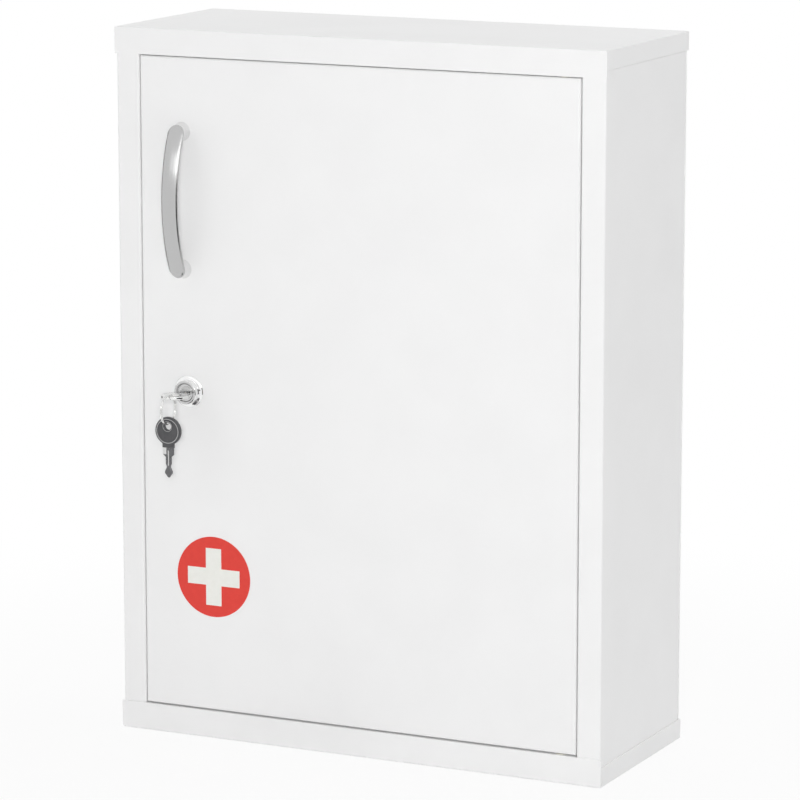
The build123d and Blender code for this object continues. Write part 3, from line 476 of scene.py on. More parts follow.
def join(name: str, parts: Sequence[Piece]) -> Piece:
    """Join several shells into one piece.

    Args:
        name: the joined piece's name.
        parts: objects at the origin; the first keeps the data.

    Returns:
        The joined object.
    """
    first = parts[0]
    with bpy.context.temp_override(active_object=first, selected_editable_objects=list(parts)):
        bpy.ops.object.join()
    first.name = name
    first.data.name = name
    return first


def turned(centre: Sequence[float], profile: np.ndarray, segments: int) -> np.ndarray:
    """Points of a shape turned about an axis that runs along Y.

    Point (i, j) is the profile's i-th radius and depth, carried round by angle j.

    Args:
        centre: a point on the axis, in metres.
        profile: rows of (radius, y offset) in millimetres.
        segments: steps round the axis.

    Returns:
        Grid of points in metres, shape (profile, segments, 3).
    """
    angle = np.linspace(0.0, 2 * np.pi, segments, endpoint=False)
    radius = profile[:, :1] * MM
    depth = profile[:, 1:] * MM
    x = centre[0] + radius * np.cos(angle)
    z = centre[2] + radius * np.sin(angle)
    y = centre[1] + depth + 0 * angle
    return np.stack([x, y, z], axis=-1)


def superellipse(count: int, power: float) -> np.ndarray:
    """Unit rounded-rectangle outline, |x|^power + |y|^power = 1.

    Args:
        count: points round it.
        power: 2 is a circle, larger is squarer.

    Returns:
        Points of shape (count, 2), anticlockwise.
    """
    angle = np.linspace(0, 2 * np.pi, count, endpoint=False)
    cos, sin = np.cos(angle), np.sin(angle)
    return np.stack(
        [np.sign(cos) * np.abs(cos) ** (2 / power), np.sign(sin) * np.abs(sin) ** (2 / power)], axis=-1
    )


# ---------------------------------------------------------------- handle
@dataclass
class BowHandle:
    """Die-cast bow handle: a crowned strap bent in an arc, on two feet that spread to the door."""

    shop: Paintshop
    pitch: float = 96.0
    length: float = 106.0
    width: float = 12.4
    thickness: float = 4.6
    end_reach: float = 8.4
    foot_radius: float = 6.7
    neck_radius: float = 5.1
    squareness: float = 2.25
    end_taper: float = 0.4
    foot_flare: float = 2.4
    steps: int = 200
    round_steps: int = 56
    foot_rows: int = 26
    foot_steps: int = 72

    def bow(self, reach: float, z: np.ndarray) -> tuple[np.ndarray, np.ndarray]:
        """Middle line of the strap, a circular arc that is highest half way between the feet.

        Args:
            reach: how far the strap's front stands off the door, metres.
            z: heights above the handle's middle, metres.

        Returns:
            How far the middle line stands off the door, and its slope, at each height.
        """
        half = self.length / 2 * MM
        sagitta = reach - self.end_reach * MM
        radius = (half**2 + sagitta**2) / (2 * sagitta)
        run = np.sqrt(radius**2 - z**2)
        return reach - self.thickness / 2 * MM - (radius - run), z / radius

    def strap(self, centre: np.ndarray, reach: float) -> Piece:
        """Build the strap.

        A superellipse section is carried along the bow at right angles to it. Over the last half
        width at each end the section's width shrinks as the square root of one minus the squared
        distance into the end, and its thickness as a lower power of that, which rounds the end.

        Args:
            centre: where the handle's middle meets the door, metres.
            reach: how far the strap's front stands off the door, metres.

        Returns:
            The strap.
        """
        half = self.length / 2 * MM
        rounding = self.width / 2 * MM
        z = half * np.sin(np.linspace(-np.pi / 2, np.pi / 2, self.steps))
        middle, slope = self.bow(reach, z)
        into_end = np.clip((np.abs(z) - (half - rounding)) / rounding, 0, 1)
        taper = np.sqrt(np.clip(1 - into_end**2, 0, 1))
        section = superellipse(self.round_steps, self.squareness)
        across = section[:, 0] * self.width / 2 * MM * taper[:, None]
        out = section[:, 1] * self.thickness / 2 * MM * taper[:, None] ** self.end_taper
        lean = np.sqrt(1 - slope**2)
        grid = np.empty((self.steps, self.round_steps, 3))
        grid[..., 0] = centre[0] + across
        grid[..., 1] = centre[1] - middle[:, None] - out * lean[:, None]
        grid[..., 2] = centre[2] + z[:, None] + out * slope[:, None]
        return shell("handle_strap", grid, wrap_u=False, wrap_v=True, painted_highlight_and_wear=0.0)

    def foot(self, name: str, centre: np.ndarray, reach: float, side: int) -> Piece:
        """Build one foot.

        The foot's radius falls from the door to the strap as a power of the share of the way that
        is left. The share is of the strap's own distance at each height, so that the foot ends
        inside the strap all round.

        Args:
            name: the foot's name.
            centre: where the handle's middle meets the door, metres.
            reach: how far the strap's front stands off the door, metres.
            side: 1 for the upper foot, -1 for the lower.

        Returns:
            The foot.
        """
        share = np.concatenate([[0.0, 0.0, 0.012], np.linspace(0.05, 1.0, self.foot_rows), [1.0]])
        spread = self.foot_radius - self.neck_radius
        radius = self.neck_radius + spread * (1 - share) ** self.foot_flare
        radius[0] = radius[-1] = 0.0
        radius[1] -= 0.12
        angle = np.linspace(0, 2 * np.pi, self.foot_steps, endpoint=False)
        x = radius[:, None] * MM * np.cos(angle)
        z = side * self.pitch / 2 * MM + radius[:, None] * MM * np.sin(angle)
        middle, _ = self.bow(reach, np.clip(z, -self.length / 2 * MM, self.length / 2 * MM))
        # The whole foot is painted lighter: painted reflection of the white door.
        return shell(
            name,
            np.stack([centre[0] + x, centre[1] - share[:, None] * middle, centre[2] + z], axis=-1),
            wrap_u=False,
            wrap_v=True,
            painted_highlight_and_wear=1.0,
        )

    def build(self) -> None:
        """Build the handle and let it stand for its CAD node."""
        low, high = np.array(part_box("door_handle"))
        centre = np.array([(low[0] + high[0]) / 2, high[1], (low[2] + high[2]) / 2])
        reach = high[1] - low[1]
        parts = [
            self.strap(centre, reach),
            self.foot("handle_foot_upper", centre, reach, 1),
            self.foot("handle_foot_lower", centre, reach, -1),
        ]
        handle = join("bow_handle", parts)
        self.shop.paint(handle, Finish.HANDLE)
        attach(handle, "door")
        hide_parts("door_handle")
        log.info("bow_handle: %d faces", len(handle.data.polygons))


# ---------------------------------------------------------------- lock
@dataclass
class CamLock:
    """Chromed lock housing: flange, stepped nose and a threaded body with two flats."""

    shop: Paintshop
    flange_radius: float = 11.3
    flange_thickness: float = 1.6
    nose_radius: float = 8.5
    nose_reach: float = 6.5
    body_radius: float = 8.0
    flat_half: float = 6.8
    bore_radius: float = 6.3
    thread_pitch: float = 1.0
    thread_depth: float = 0.5
    segments: int = 128

    def front(self, centre: np.ndarray) -> Piece:
        """Build the flange and nose, a closed profile turned about the lock's axis.

        Args:
            centre: where the lock's axis meets the door's face, metres.

        Returns:
            The front of the housing.
        """
        flange, nose, bore = self.flange_radius, self.nose_radius, self.bore_radius
        thick, reach = self.flange_thickness, self.nose_reach
        profile = np.array(
            [
                (bore, 0.0),
                (flange - 0.15, 0.0),
                (flange, -0.15),
                (flange, -0.55),
                (flange - 0.15, -0.85),
                (flange - 0.55, -1.2),
                (flange - 1.2, -1.45),
                (flange - 1.9, -thick),
                (nose + 0.35, -thick),
                (nose + 0.1, -thick - 0.1),
                (nose, -thick - 0.35),
                (nose, -reach + 0.8),
                (nose - 0.1, -reach + 0.45),
                (nose - 0.4, -reach + 0.12),
                (nose - 0.8, -reach),
                (bore + 0.75, -reach),
                (bore + 0.45, -reach + 0.1),
                (bore + 0.3, -reach + 0.45),
                (bore + 0.02, -reach + 0.7),
                (bore, -reach + 1.2),
            ]
        )
        # Painted highlight: the flange and the nose's side wall are painted lighter in place of reflections.
        bright = (profile[:, :1] > nose - 0.25).astype(float)
        grid = turned(centre, profile, self.segments)
        return shell("lock_front_part", grid, wrap_u=True, wrap_v=True, painted_highlight_and_wear=bright)

    def threaded_body(self, centre: np.ndarray, length: float) -> Piece:
        """Build the body behind the door.

        The radius is a triangle wave of the turns counted along and round the body, which is a
        screw thread, and is then limited by the two flats, which stand flat_half from the axis.

        Args:
            centre: where the lock's axis meets the door's face, metres.
            length: length of the body behind the face, millimetres.

        Returns:
            The threaded body.
        """
        rows = int(length / self.thread_pitch) * 10
        depth = np.linspace(0.05, length, rows)[:, None]
        angle = np.linspace(0, 2 * np.pi, self.segments, endpoint=False)[None, :]
        turns = depth / self.thread_pitch + angle / (2 * np.pi)
        wave = np.abs(2 * (turns - np.floor(turns)) - 1)
        radius = self.body_radius - self.thread_depth * wave
        radius = np.minimum(radius, self.flat_half / np.maximum(np.abs(np.sin(angle)), 1e-6))
        outer = np.stack(
            [
                centre[0] + radius * np.cos(angle) * MM,
                centre[1] + (depth + 0 * angle) * MM,
                centre[2] + radius * np.sin(angle) * MM,
            ],
            axis=-1,
        )
        bore = np.array([(self.bore_radius, length), (self.bore_radius, 0.05)])
        return shell(
            "lock_thread_part",
            np.concatenate([outer, turned(centre, bore, self.segments)]),
            wrap_u=True,
            wrap_v=True,
            painted_highlight_and_wear=0.0,
        )

    def build(self) -> None:
        """Build the housing and let it stand for its CAD node."""
        low, high = np.array(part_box("lock_housing"))
        door_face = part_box("door_pan")[0][1]
        centre = np.array([(low[0] + high[0]) / 2, door_face, (low[2] + high[2]) / 2])
        length = (high[1] - door_face) / MM
        housing = join("lock_housing_chromed", [self.front(centre), self.threaded_body(centre, length)])
        self.shop.paint(housing, Finish.LOCK)
        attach(housing, "door")
        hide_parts("lock_housing")
        log.info("lock_housing_chromed: %d faces", len(housing.data.polygons))


# ---------------------------------------------------------------- keys and ring
class Rim(Enum):
    """What a row of a key head's section is measured from."""

    HOLE = 0  # distance out from the hole's edge
    FIELD = 1  # share of the way from the eyelet to the border
    HEAD = 2  # distance in from the head's circle
    EDGE = 3  # distance in from the outline, collar and all


@dataclass(frozen=True)
class Row:
    """One row of a key head's section: where it runs, how high, and its painted highlight and wear."""

    rim: Rim
    distance: float
    height: float
    painted_highlight_and_wear: float = 0.0


@dataclass
class KeyShape:
    """Sizes of a key in millimetres, its collar's lower edge at the origin."""

    head_radius: float = 9.75
    hole_radius: float = 3.5
    rim: float = 2.4
    collar_width: float = 8.6
    collar_length: float = 3.0
    shank_width: float = 8.0
    shank_length: float = 5.8
    stem_width: float = 4.0
    neck_width: float = 2.7
    stem_length: float = 7.8
    tip_width: float = 5.7
    tip_length: float = 7.4
    thickness: float = 1.8
    groove_width: float = 1.2
    groove_depth: float = 0.4
    eyelet: float = 1.35
    border: float = 2.1
    ribs: float = 0.0
    rib_pitch: float = 1.0
    directions: int = 256

    @property
    def head_centre(self) -> float:
        """Height of the head's centre above the collar's lower edge."""
        return self.collar_length + math.sqrt(self.head_radius**2 - (self.collar_width / 2) ** 2)

    @property
    def hole_centre(self) -> float:
        """Height of the ring hole's centre above the collar's lower edge."""
        return self.head_centre + self.head_radius - self.rim - self.hole_radius

    @property
    def top(self) -> float:
        """Height of the head's highest point above the collar's lower edge."""
        return self.head_centre + self.head_radius

    def outline(self, angle: np.ndarray, inset: float) -> np.ndarray:
        """Outline of head and collar, moved in by a distance.

        For each direction from the head's centre the edge is the farther of the circle and the
        collar's rectangle, both made smaller by the inset.

        Args:
            angle: directions round the head's centre.
            inset: distance in from the real edge, millimetres.

        Returns:
            Points (across, along), shape (directions, 2).
        """
        cos, sin = np.cos(angle), np.sin(angle)
        side = (self.collar_width / 2 - inset) / np.maximum(np.abs(cos), 1e-6)
        foot = (self.head_centre - inset) / np.maximum(-sin, 1e-6)
        collar = np.where(sin < -0.5, np.minimum(side, foot), 0.0)
        reach = np.maximum(self.head_radius - inset, collar)
        return np.stack([reach * cos, self.head_centre + reach * sin], axis=-1)

    def directions_round(self) -> np.ndarray:
        """Directions round the head, with extra ones at the collar's four corners."""
        even = np.linspace(0, 2 * np.pi, self.directions - 4, endpoint=False)
        half = self.collar_width / 2
        low = -self.head_centre
        high = -math.sqrt(self.head_radius**2 - half**2)
        corners = np.arctan2([low, low, high, high], [half, -half, half, -half]) % (2 * np.pi)
        return np.sort(np.concatenate([even, corners]))

    def holed_plate(self, section: Sequence[Row]) -> tuple[np.ndarray, np.ndarray]:
        """Points of the head: a plate with a hole, closed like a ring.

        Rows near the hole are circles round it, rows near the border are circles round the head,
        and rows of the field lie between the two, raised and sunk by a cosine of the place across,
        which makes upright ribs. The outermost rows follow the outline.

        Args:
            section: rows in order round the section.

        Returns:
            Grid of (across, along, up) in millimetres, shape (section, directions, 3), and how much
            each point is painted lighter as highlight and wear.
        """
        angle = self.directions_round()
        ray = np.stack([np.cos(angle), np.sin(angle)], axis=-1)
        head = np.array([0.0, self.head_centre])
        hole = np.array([0.0, self.hole_centre])
        eyelet = hole + (self.hole_radius + self.eyelet) * ray
        border = head + (self.head_radius - self.border) * ray
        rows = []
        for row in section:
            height = np.full(len(angle), row.height)
            if row.rim is Rim.HOLE:
                flat = hole + (self.hole_radius + row.distance) * ray
            elif row.rim is Rim.FIELD:
                flat = eyelet + (border - eyelet) * row.distance
                wave = np.cos(2 * np.pi * flat[:, 0] / self.rib_pitch)
                height += np.sign(row.height) * self.ribs * wave
            elif row.rim is Rim.HEAD:
                flat = head + (self.head_radius - row.distance) * ray
            else:
                flat = self.outline(angle, row.distance)
            rows.append(np.column_stack([flat, height]))
        painted_highlight_and_wear = np.repeat([[row.painted_highlight_and_wear] for row in section], len(angle), axis=1)
        return np.array(rows), painted_highlight_and_wear

    def blade(self, start: float, rows: int = 170, columns: int = 41) -> tuple[np.ndarray, np.ndarray]:
        """Points of the blade: a profile carried along the key's length.

        Half width runs along the shank, narrows to the stem and the neck, spreads and closes in a
        blunt point. The face is bevelled at both edges, sunk along the middle groove, and stepped
        down on one side of the shank.

        Args:
            start: length of the tang above the collar's lower edge.
            rows: steps along the length.
            columns: points across one face.

        Returns:
            Grid of (across, along, up) in millimetres, shape (rows, 2 * columns, 3), and how much each
            point is painted lighter: painted highlight on the groove and on the step of the shank.
        """
        stem = self.shank_length
        neck = stem + self.stem_length
        end = neck + self.tip_length
        along = np.concatenate([np.linspace(-start, end - 1.0, rows - 20), np.linspace(end - 0.95, end, 20)])
        stations = {
            -start: self.shank_width,
            stem - 0.9: self.shank_width,
            stem + 0.7: self.stem_width,
            neck - 2.2: self.stem_width,
            neck - 0.6: self.neck_width,
            neck + 0.4: self.neck_width,
            neck + self.tip_length * 0.45: self.tip_width,
            neck + self.tip_length * 0.6: self.tip_width * 0.95,
            end - 0.5: 2.1,
            end - 0.15: 1.5,
            end: 0.9,
        }
        width = np.interp(along, list(stations), list(stations.values()))
        share = np.linspace(0, 1, columns)
        across = (share - 0.5) * width[:, None]
        inner = np.minimum(share, 1 - share) * width[:, None]
        bevel = 0.22 * np.clip(1 - inner / 0.35, 0, 1)
        down = along[:, None]
        groove = np.clip((self.groove_width / 2 - np.abs(across)) / 0.25, 0, 1) * self.groove_depth
        groove = groove * np.clip((neck - 0.5 - down) / 1.2, 0, 1) * np.clip((down - 1.6) / 0.6, 0, 1)
        step = np.clip((-self.shank_width / 6 - across) / 0.3, 0, 1)
        step = step * np.clip((stem - 0.9 - down) / 0.5, 0, 1)
        slim = np.clip((end - down) / 3.0, 0.3, 1)
        height = np.maximum((self.thickness / 2 - groove - 0.35 * step - bevel) * slim, 0.12)
        run = -down + 0 * across
        top = np.stack([across, run, height], axis=-1)
        bottom = np.stack([across, run, -height], axis=-1)[:, ::-1]
        # Painted highlight: the groove and the step are painted lighter in place of the light they catch.
        bright = np.clip(np.maximum(groove / self.groove_depth, step), 0, 1)
        return np.concatenate([top, bottom], axis=1), np.concatenate([bright, bright[:, ::-1]], axis=1)


@dataclass
class Keys:
    """The key in the lock, the spare key and the split ring that joins them.

    The wire starts ring_start degrees round the ring.
    """

    shop: Paintshop
    metal: KeyShape = field(default_factory=KeyShape)
    spare_shape: KeyShape = field(
        default_factory=lambda: KeyShape(
            head_radius=9.9, hole_radius=2.6, rim=3.95, collar_width=8.8, ribs=0.12, rib_pitch=1.3
        )
    )
    head_thickness: float = 3.4
    ring_wire: tuple[float, float] = (0.86, 1.1)
    ring_turns: float = 1.94
    ring_start: float = 150.0
    wire_squareness: float = 3.0

    def in_lock(self) -> None:
        """Build the inserted key: one stamped and nickelled piece that lies level in the keyway."""
        low, high = np.array(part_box("inserted_key"))
        half = self.metal.thickness / 2
        upper = [
            Row(Rim.HOLE, 0.0, half - 0.3),
            Row(Rim.HOLE, 0.09, half - 0.09),
            Row(Rim.HOLE, 0.3, half),
            Row(Rim.EDGE, 0.3, half),
            Row(Rim.EDGE, 0.09, half - 0.09),
            Row(Rim.EDGE, 0.0, half - 0.3),
        ]
        lower = [Row(row.rim, row.distance, -row.height) for row in reversed(upper)]
        head, _ = self.metal.holed_plate(upper + lower)
        middle = (low + high) / 2

        def lay(grid: np.ndarray) -> np.ndarray:
            """Lay the key flat: its length runs out of the door along -Y."""
            x = middle[0] - grid[..., 0] * MM
            y = low[1] + (self.metal.top - grid[..., 1]) * MM
            return np.stack([x, y, middle[2] + grid[..., 2] * MM], axis=-1)

        blade, _ = self.metal.blade(1.0)
        parts = [
            shell("key_bow_part", lay(head), wrap_u=True, wrap_v=True),
            shell("key_blade_part", lay(blade), wrap_u=False, wrap_v=True, cap_ends=True),
        ]
        key = join("key_in_lock", parts)
        self.shop.paint(key, Finish.NICKEL)
        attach(key, "key")
        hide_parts("inserted_key")
        log.info("key_in_lock: %d faces", len(key.data.polygons))

    def moulded_section(self) -> list[Row]:
        """Section of the spare key's head: eyelet, ribbed field, raised border and rounded edge."""
        half = self.head_thickness / 2
        field_height = half - 0.6
        upper = [
            Row(Rim.HOLE, 0.0, half - 1.0),
            Row(Rim.HOLE, 0.1, half - 0.6),
            Row(Rim.HOLE, 0.5, half - 0.4),
            Row(Rim.HOLE, 0.7, half - 0.1),
            # The eyelet's crest is painted lighter: wear and painted highlight.
            Row(Rim.HOLE, 0.82, half, 1.0),
            Row(Rim.HOLE, 1.0, half, 1.0),
            Row(Rim.HOLE, 1.15, half - 0.2),
            Row(Rim.HOLE, self.spare_shape.eyelet, field_height),
            *(Row(Rim.FIELD, float(share), field_height) for share in np.linspace(0.04, 0.96, 12)),
            Row(Rim.HEAD, self.spare_shape.border, field_height),
            Row(Rim.HEAD, 1.85, half - 0.25),
            # The border's crest is painted lighter: wear and painted highlight.
            Row(Rim.HEAD, 1.7, half - 0.02, 1.0),
            Row(Rim.HEAD, 1.35, half, 1.0),
            Row(Rim.HEAD, 1.2, half - 0.06),
            Row(Rim.EDGE, 0.9, half - 0.12),
            Row(Rim.EDGE, 0.45, half - 0.25),
            Row(Rim.EDGE, 0.15, half - 0.55),
            Row(Rim.EDGE, 0.0, half - 1.05),
        ]
        return upper + [Row(row.rim, row.distance, -row.height, row.painted_highlight_and_wear) for row in reversed(upper)]

    def spare(self) -> None:
        """Build the spare key: a steel blade in a moulded head with a raised border and eyelet."""
        low, high = np.array(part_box("spare_key_head"))
        head, painted_highlight_and_wear = self.spare_shape.holed_plate(self.moulded_section())
        middle = (low + high) / 2

        def hang(grid: np.ndarray) -> np.ndarray:
            """Hang the key upright: its length runs along Z and its face looks to the front."""
            x = middle[0] + grid[..., 0] * MM
            z = high[2] - (self.spare_shape.top - grid[..., 1]) * MM
            return np.stack([x, middle[1] - grid[..., 2] * MM, z], axis=-1)

        moulded = shell("spare_key_moulded_head", hang(head), wrap_u=True, wrap_v=True, painted_highlight_and_wear=painted_highlight_and_wear)
        self.shop.paint(moulded, Finish.KEY_PLASTIC)
        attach(moulded, "spare_key")
        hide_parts("spare_key_head")
        steel, bright = self.spare_shape.blade(2.0)
        # The blade's groove and step carry the painted highlight.
        blade = shell(
            "spare_key_milled_blade", hang(steel), wrap_u=False, wrap_v=True, cap_ends=True, painted_highlight_and_wear=bright
        )
        self.shop.paint(blade, Finish.KEY_STEEL)
        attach(blade, "spare_key")
        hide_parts("spare_key_blade")
        log.info("spare key: %d and %d faces", len(moulded.data.polygons), len(blade.data.polygons))

    def split_ring(self, rows: int = 480, columns: int = 24) -> None:
        """Build the split ring: flattened wire wound in two touching turns.

        The centre line goes round the ring while its offset along X passes smoothly from the left
        turn to the right one where the wire crosses over; the section is a superellipse whose axes
        point along X and away from the ring's centre.

        Args:
            rows: steps along the wire.
            columns: points round the wire.
        """
        low, high = np.array(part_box("key_ring"))
        middle = (low + high) / 2
        wide, thick = (size * MM for size in self.ring_wire)
        radius = (high[2] - low[2]) / 2 - thick / 2
        angle = np.linspace(0, 2 * np.pi * self.ring_turns, rows)
        crossing = np.clip((angle - (angle[-1] / 2 - 0.35)) / 0.7, 0, 1)
        shift = (crossing * crossing * (3 - 2 * crossing) - 0.5) * wide * 1.05
        turn = angle + math.radians(self.ring_start)
        section = superellipse(columns, self.wire_squareness)
        out = radius + section[None, :, 1] * thick / 2
        grid = np.empty((rows, columns, 3))
        grid[..., 0] = middle[0] + shift[:, None] + section[None, :, 0] * wide / 2
        grid[..., 1] = middle[1] + out * np.cos(turn)[:, None]
        grid[..., 2] = middle[2] + out * np.sin(turn)[:, None]
        ring = shell("split_key_ring", grid, wrap_u=False, wrap_v=True, cap_ends=True)
        self.shop.paint(ring, Finish.NICKEL)
        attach(ring, "ring")
        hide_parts("key_ring")
        log.info("split_key_ring: %d faces", len(ring.data.polygons))

    def build(self) -> None:
        """Build both keys and the ring."""
        self.in_lock()
        self.spare()
        self.split_ring()


# ---------------------------------------------------------------- carried-over CAD nodes
@dataclass
class CadFinishes:
    """Puts the right finish on every CAD node that keeps its own shape."""

    shop: Paintshop
    nodes: dict[str, Piece]
    record: dict[str, Any]

    def build(self) -> None:
        """Dress each shown CAD node with the finish of its slot."""
        by_slot = {finish.slot: finish for finish in Finish}
        for row in self.record["subparts"]:
            piece = self.nodes[row["node"]]
            self.shop.paint(piece, by_slot[row["material_slot"]])
            log.info("%s: %s", row["node"], row["material_slot"])


# ---------------------------------------------------------------- studio
@dataclass(frozen=True)
class Lamp:
    """A soft oblong lamp: its direction from the cabinet, distance and size in metres.

    Its radiance is how bright it would look, where 1 is white.
    """

    name: str
    toward: tuple[float, float, float]
    away: float
    size: tuple[float, float]
    radiance: float


@dataclass(frozen=True)
class Card:
    """A card from one corner along two sides, in metres; with no glow it is plain felt."""

    name: str
    colour: str
    corner: tuple[float, float, float]
    along: tuple[float, float, float]
    up: tuple[float, float, float]
    glow: float = 0.0


@dataclass
class Studio:
    """Camera, floor, world, lamps and the cards that reflections show.

    Aim, distance and middle are in millimetres, and sight, how far the camera sees, in metres. The
    front light starts and is full at two values of the cosine between a direction and the lamp's
    side. The floor fades to white between two distances in metres, and floor_white is the share of
    white that it has before the first.
    """

    yaw: float = 25.767
    pitch: float = 10.774
    focal_px: float = 4224.4
    frame_px: float = 800.0
    aim: tuple[float, float, float] = (34.4, -71.5, 255.0)
    distance: float = 2872.8
    middle: tuple[float, float, float] = (0.0, 0.0, 250.0)
    room_light: float = 0.72
    front_light: float = 0.3
    lamp_side: tuple[float, float, float] = (0.42, -0.90, 0.09)
    front_starts: float = 0.3
    front_full: float = 0.8
    sensor_mm: float = 36.0
    sight: float = 50.0
    floor_fade: tuple[float, float] = (0.25, 0.7)
    floor_white: float = 0.88
    lamps: tuple[Lamp, ...] = (
        Lamp("front_soft_lamp", (0.405, -0.892, 0.2), 3.1, (0.5, 0.5), 47.0),
        Lamp("overhead_lamp", (0.05, 0.3, 0.95), 2.2, (1.2, 0.8), 2.2),
    )
    cards: tuple[Card, ...] = (
        Card("right_card", "202020", (0.36, -0.62, 0.0), (0.22, 0.75, 0.0), (0.0, 0.0, 0.425)),
        Card("bright_card", "FFFFFF", (1.2, -0.6, 0.46), (0.0, 1.0, 0.0), (0.0, 0.0, 0.54), 1.8),
        Card("far_glow_card", "FFFFFF", (-1.54, -2.75, 1.0), (0.99, -0.32, 0.0), (0.0, 0.0, 0.66), 1.45),
        Card("mid_glow_card", "FFFFFF", (-0.55, -3.07, 0.98), (1.2, 0.07, 0.0), (0.0, 0.0, 0.7), 2.0),
        Card("near_glow_card", "FFFFFF", (0.65, -3.0, 0.85), (1.85, 1.5, 0.0), (0.0, 0.0, 0.85), 2.6),
        Card("low_card", "202020", (-0.11, -0.21, 0.002), (0.11, 0.0, 0.0), (0.0, 0.12, 0.0)),
        Card("left_card", "9A9A9A", (-0.52, -0.12, 0.1), (0.0, 0.5, 0.0), (0.0, 0.0, 0.5)),
    )

    def camera(self) -> None:
        """Place the camera: it looks along its yaw and pitch at the aim point."""
        yaw, pitch = math.radians(self.yaw), math.radians(self.pitch)
        look = np.array([-math.sin(yaw) * math.cos(pitch), math.cos(yaw) * math.cos(pitch), -math.sin(pitch)])
        data = bpy.data.cameras.new("photo_camera")
        data.sensor_width = self.sensor_mm
        data.lens = self.focal_px * data.sensor_width / self.frame_px
        data.clip_end = self.sight
        made = bpy.data.objects.new("photo_camera", data)
        made.location = (np.array(self.aim) - look * self.distance) * MM
        made.rotation_euler = (math.pi / 2 - pitch, 0.0, yaw)
        bpy.context.scene.collection.objects.link(made)
        bpy.context.scene.camera = made

    def hang(self, lamp: Lamp) -> None:
        """Hang a lamp that looks at the middle of the cabinet and shows in no reflection.

        Args:
            lamp: the lamp to hang.
        """
        data = bpy.data.lights.new(lamp.name, "AREA")
        data.shape = "RECTANGLE"
        data.size, data.size_y = lamp.size
        data.energy = lamp.radiance * math.pi * lamp.size[0] * lamp.size[1]
        made = bpy.data.objects.new(lamp.name, data)
        direction = np.array(lamp.toward) / np.linalg.norm(lamp.toward)
        made.location = np.array(self.middle) * MM + direction * lamp.away
        made.visible_glossy = False
        made.rotation_euler = (
            math.atan2(math.hypot(direction[0], direction[1]), direction[2]),
            0.0,
            math.atan2(direction[0], -direction[1]),
        )
        bpy.context.scene.collection.objects.link(made)

    def stand(self, card: Card) -> None:
        """Stand a card that only reflections show, which gives chrome its dark and bright edges.

        Each point is the corner plus a share of either side.

        Args:
            card: the card to stand up.
        """
        share = np.linspace(0, 1, 3)
        sides = share[:, None, None] * np.array(card.along) + share[None, :, None] * np.array(card.up)
        made = shell(card.name, np.array(card.corner) + sides, wrap_u=False, wrap_v=False)
        for ray in ("camera", "diffuse", "transmission", "volume_scatter", "shadow"):
            setattr(made, f"visible_{ray}", False)
        cloth, tree, _ = surface_tree(f"{card.name}_cloth")
        if card.glow:
            shader = add_node(tree, "ShaderNodeEmission", Color=linear(card.colour), Strength=card.glow)
        else:
            shader = add_node(tree, "ShaderNodeBsdfDiffuse", Color=linear(card.colour))
        close_surface(tree, shader)
        made.data.materials.append(cloth)

    def seen_white(self, tree: Tree) -> Socket:
        """Add the nodes that give 1 to the camera, in reflections and through clear things, else 0."""
        path = add_node(tree, "ShaderNodeLightPath")
        share = path.outputs["Is Camera Ray"]
        for ray in ("Is Glossy Ray", "Is Transmission Ray"):
            wider = add_node(tree, "ShaderNodeMath", {"operation": "MAXIMUM"}, _0=share, _1=path.outputs[ray])
            share = wider.outputs[0]
        return share

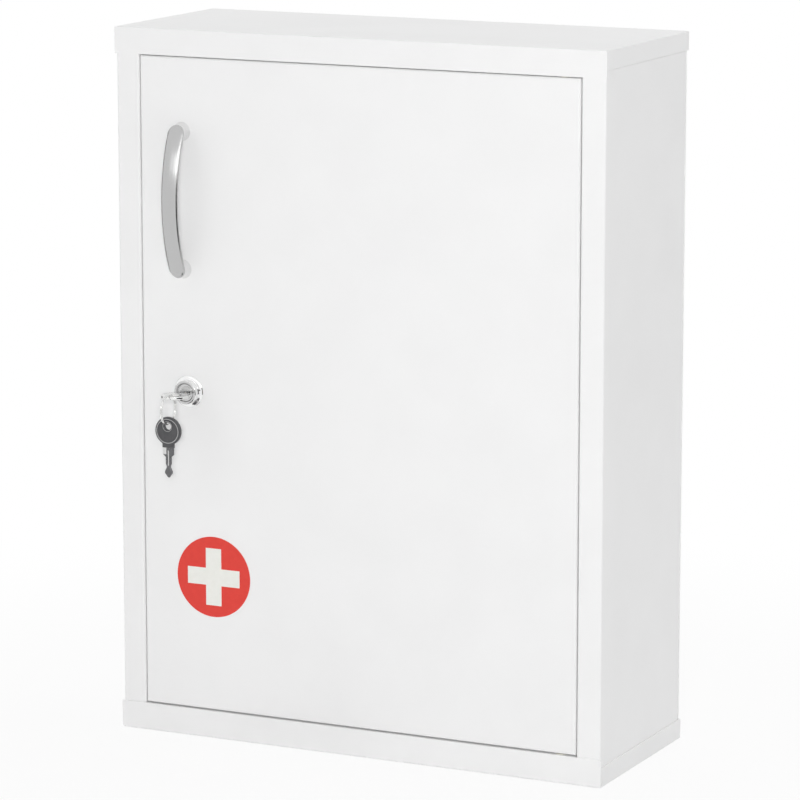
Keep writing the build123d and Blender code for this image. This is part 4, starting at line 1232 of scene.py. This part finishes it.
    def world(self) -> None:
        """White to the camera and in reflections, softer as a light on matt surfaces.

        The front of the room, where the lamp hangs, gives less of its own light, so that the lamp
        does most of the work there.
        """
        world = bpy.data.worlds.new("studio_world")
        world.use_nodes = True
        tree = world.node_tree
        tree.nodes.clear()
        where = add_node(tree, "ShaderNodeTexCoord")
        facing = add_node(
            tree,
            "ShaderNodeVectorMath",
            {"operation": "DOT_PRODUCT"},
            _0=where.outputs["Generated"],
            _1=self.lamp_side,
        )
        room = add_node(
            tree,
            "ShaderNodeMapRange",
            {"interpolation_type": "SMOOTHSTEP"},
            Value=facing.outputs["Value"],
            From_Min=self.front_starts,
            From_Max=self.front_full,
            To_Min=self.room_light,
            To_Max=self.front_light,
        )
        level = add_node(
            tree,
            "ShaderNodeMapRange",
            Value=self.seen_white(tree),
            To_Min=room.outputs["Result"],
            To_Max=1.0,
        )
        background = add_node(
            tree, "ShaderNodeBackground", Color=linear("FFFFFF"), Strength=level.outputs["Result"]
        )
        add_node(tree, "ShaderNodeOutputWorld", Surface=background.outputs[0])
        bpy.context.scene.world = world

    def floor(self) -> None:
        """A pale floor that runs out into white and keeps the cabinet's soft shadow.

        Its points lie on circles round the origin, each wider than the last.
        """
        turn = np.linspace(0, 2 * np.pi, 96, endpoint=False)
        reach = np.array([0.001, 0.2, 0.4, 0.7, 1.0, 1.5, 2.2, 3.0])
        x, y = reach[:, None] * np.cos(turn), reach[:, None] * np.sin(turn)
        rings = np.stack([x, y, 0 * x - 0.0004], axis=-1)
        floor = shell("studio_floor", rings, wrap_u=False, wrap_v=True)
        made, tree, where = surface_tree("matt_white_studio_floor")
        matt = add_node(tree, "ShaderNodeBsdfDiffuse", Color=linear("F6F6F6"))
        white = add_node(tree, "ShaderNodeEmission", Color=linear("FFFFFF"), Strength=1.0)
        away = add_node(tree, "ShaderNodeVectorMath", {"operation": "LENGTH"}, _0=where)
        share = add_node(
            tree,
            "ShaderNodeMapRange",
            {"interpolation_type": "SMOOTHSTEP"},
            Value=away.outputs["Value"],
            From_Min=self.floor_fade[0],
            From_Max=self.floor_fade[1],
            To_Min=self.floor_white,
            To_Max=1.0,
        )
        white_share = add_node(
            tree,
            "ShaderNodeMath",
            {"operation": "MULTIPLY"},
            _0=share.outputs["Result"],
            _1=self.seen_white(tree),
        )
        mixed = add_node(
            tree, "ShaderNodeMixShader", _0=white_share.outputs[0], _1=matt.outputs[0], _2=white.outputs[0]
        )
        close_surface(tree, mixed)
        floor.data.materials.append(made)

    def build(self) -> None:
        """Set up the studio."""
        self.camera()
        self.world()
        self.floor()
        for lamp in self.lamps:
            self.hang(lamp)
        for card in self.cards:
            self.stand(card)
        bpy.context.scene.view_settings.view_transform = "Standard"


def main() -> None:
    logging.basicConfig(level=logging.INFO, format="%(name)s: %(message)s")
    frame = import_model()
    shop = Paintshop()
    Studio().build()
    CadFinishes(shop, frame["nodes"], frame["record"]).build()
    BowHandle(shop).build()
    CamLock(shop).build()
    Keys(shop).build()


if __name__ == "__main__":
    main()
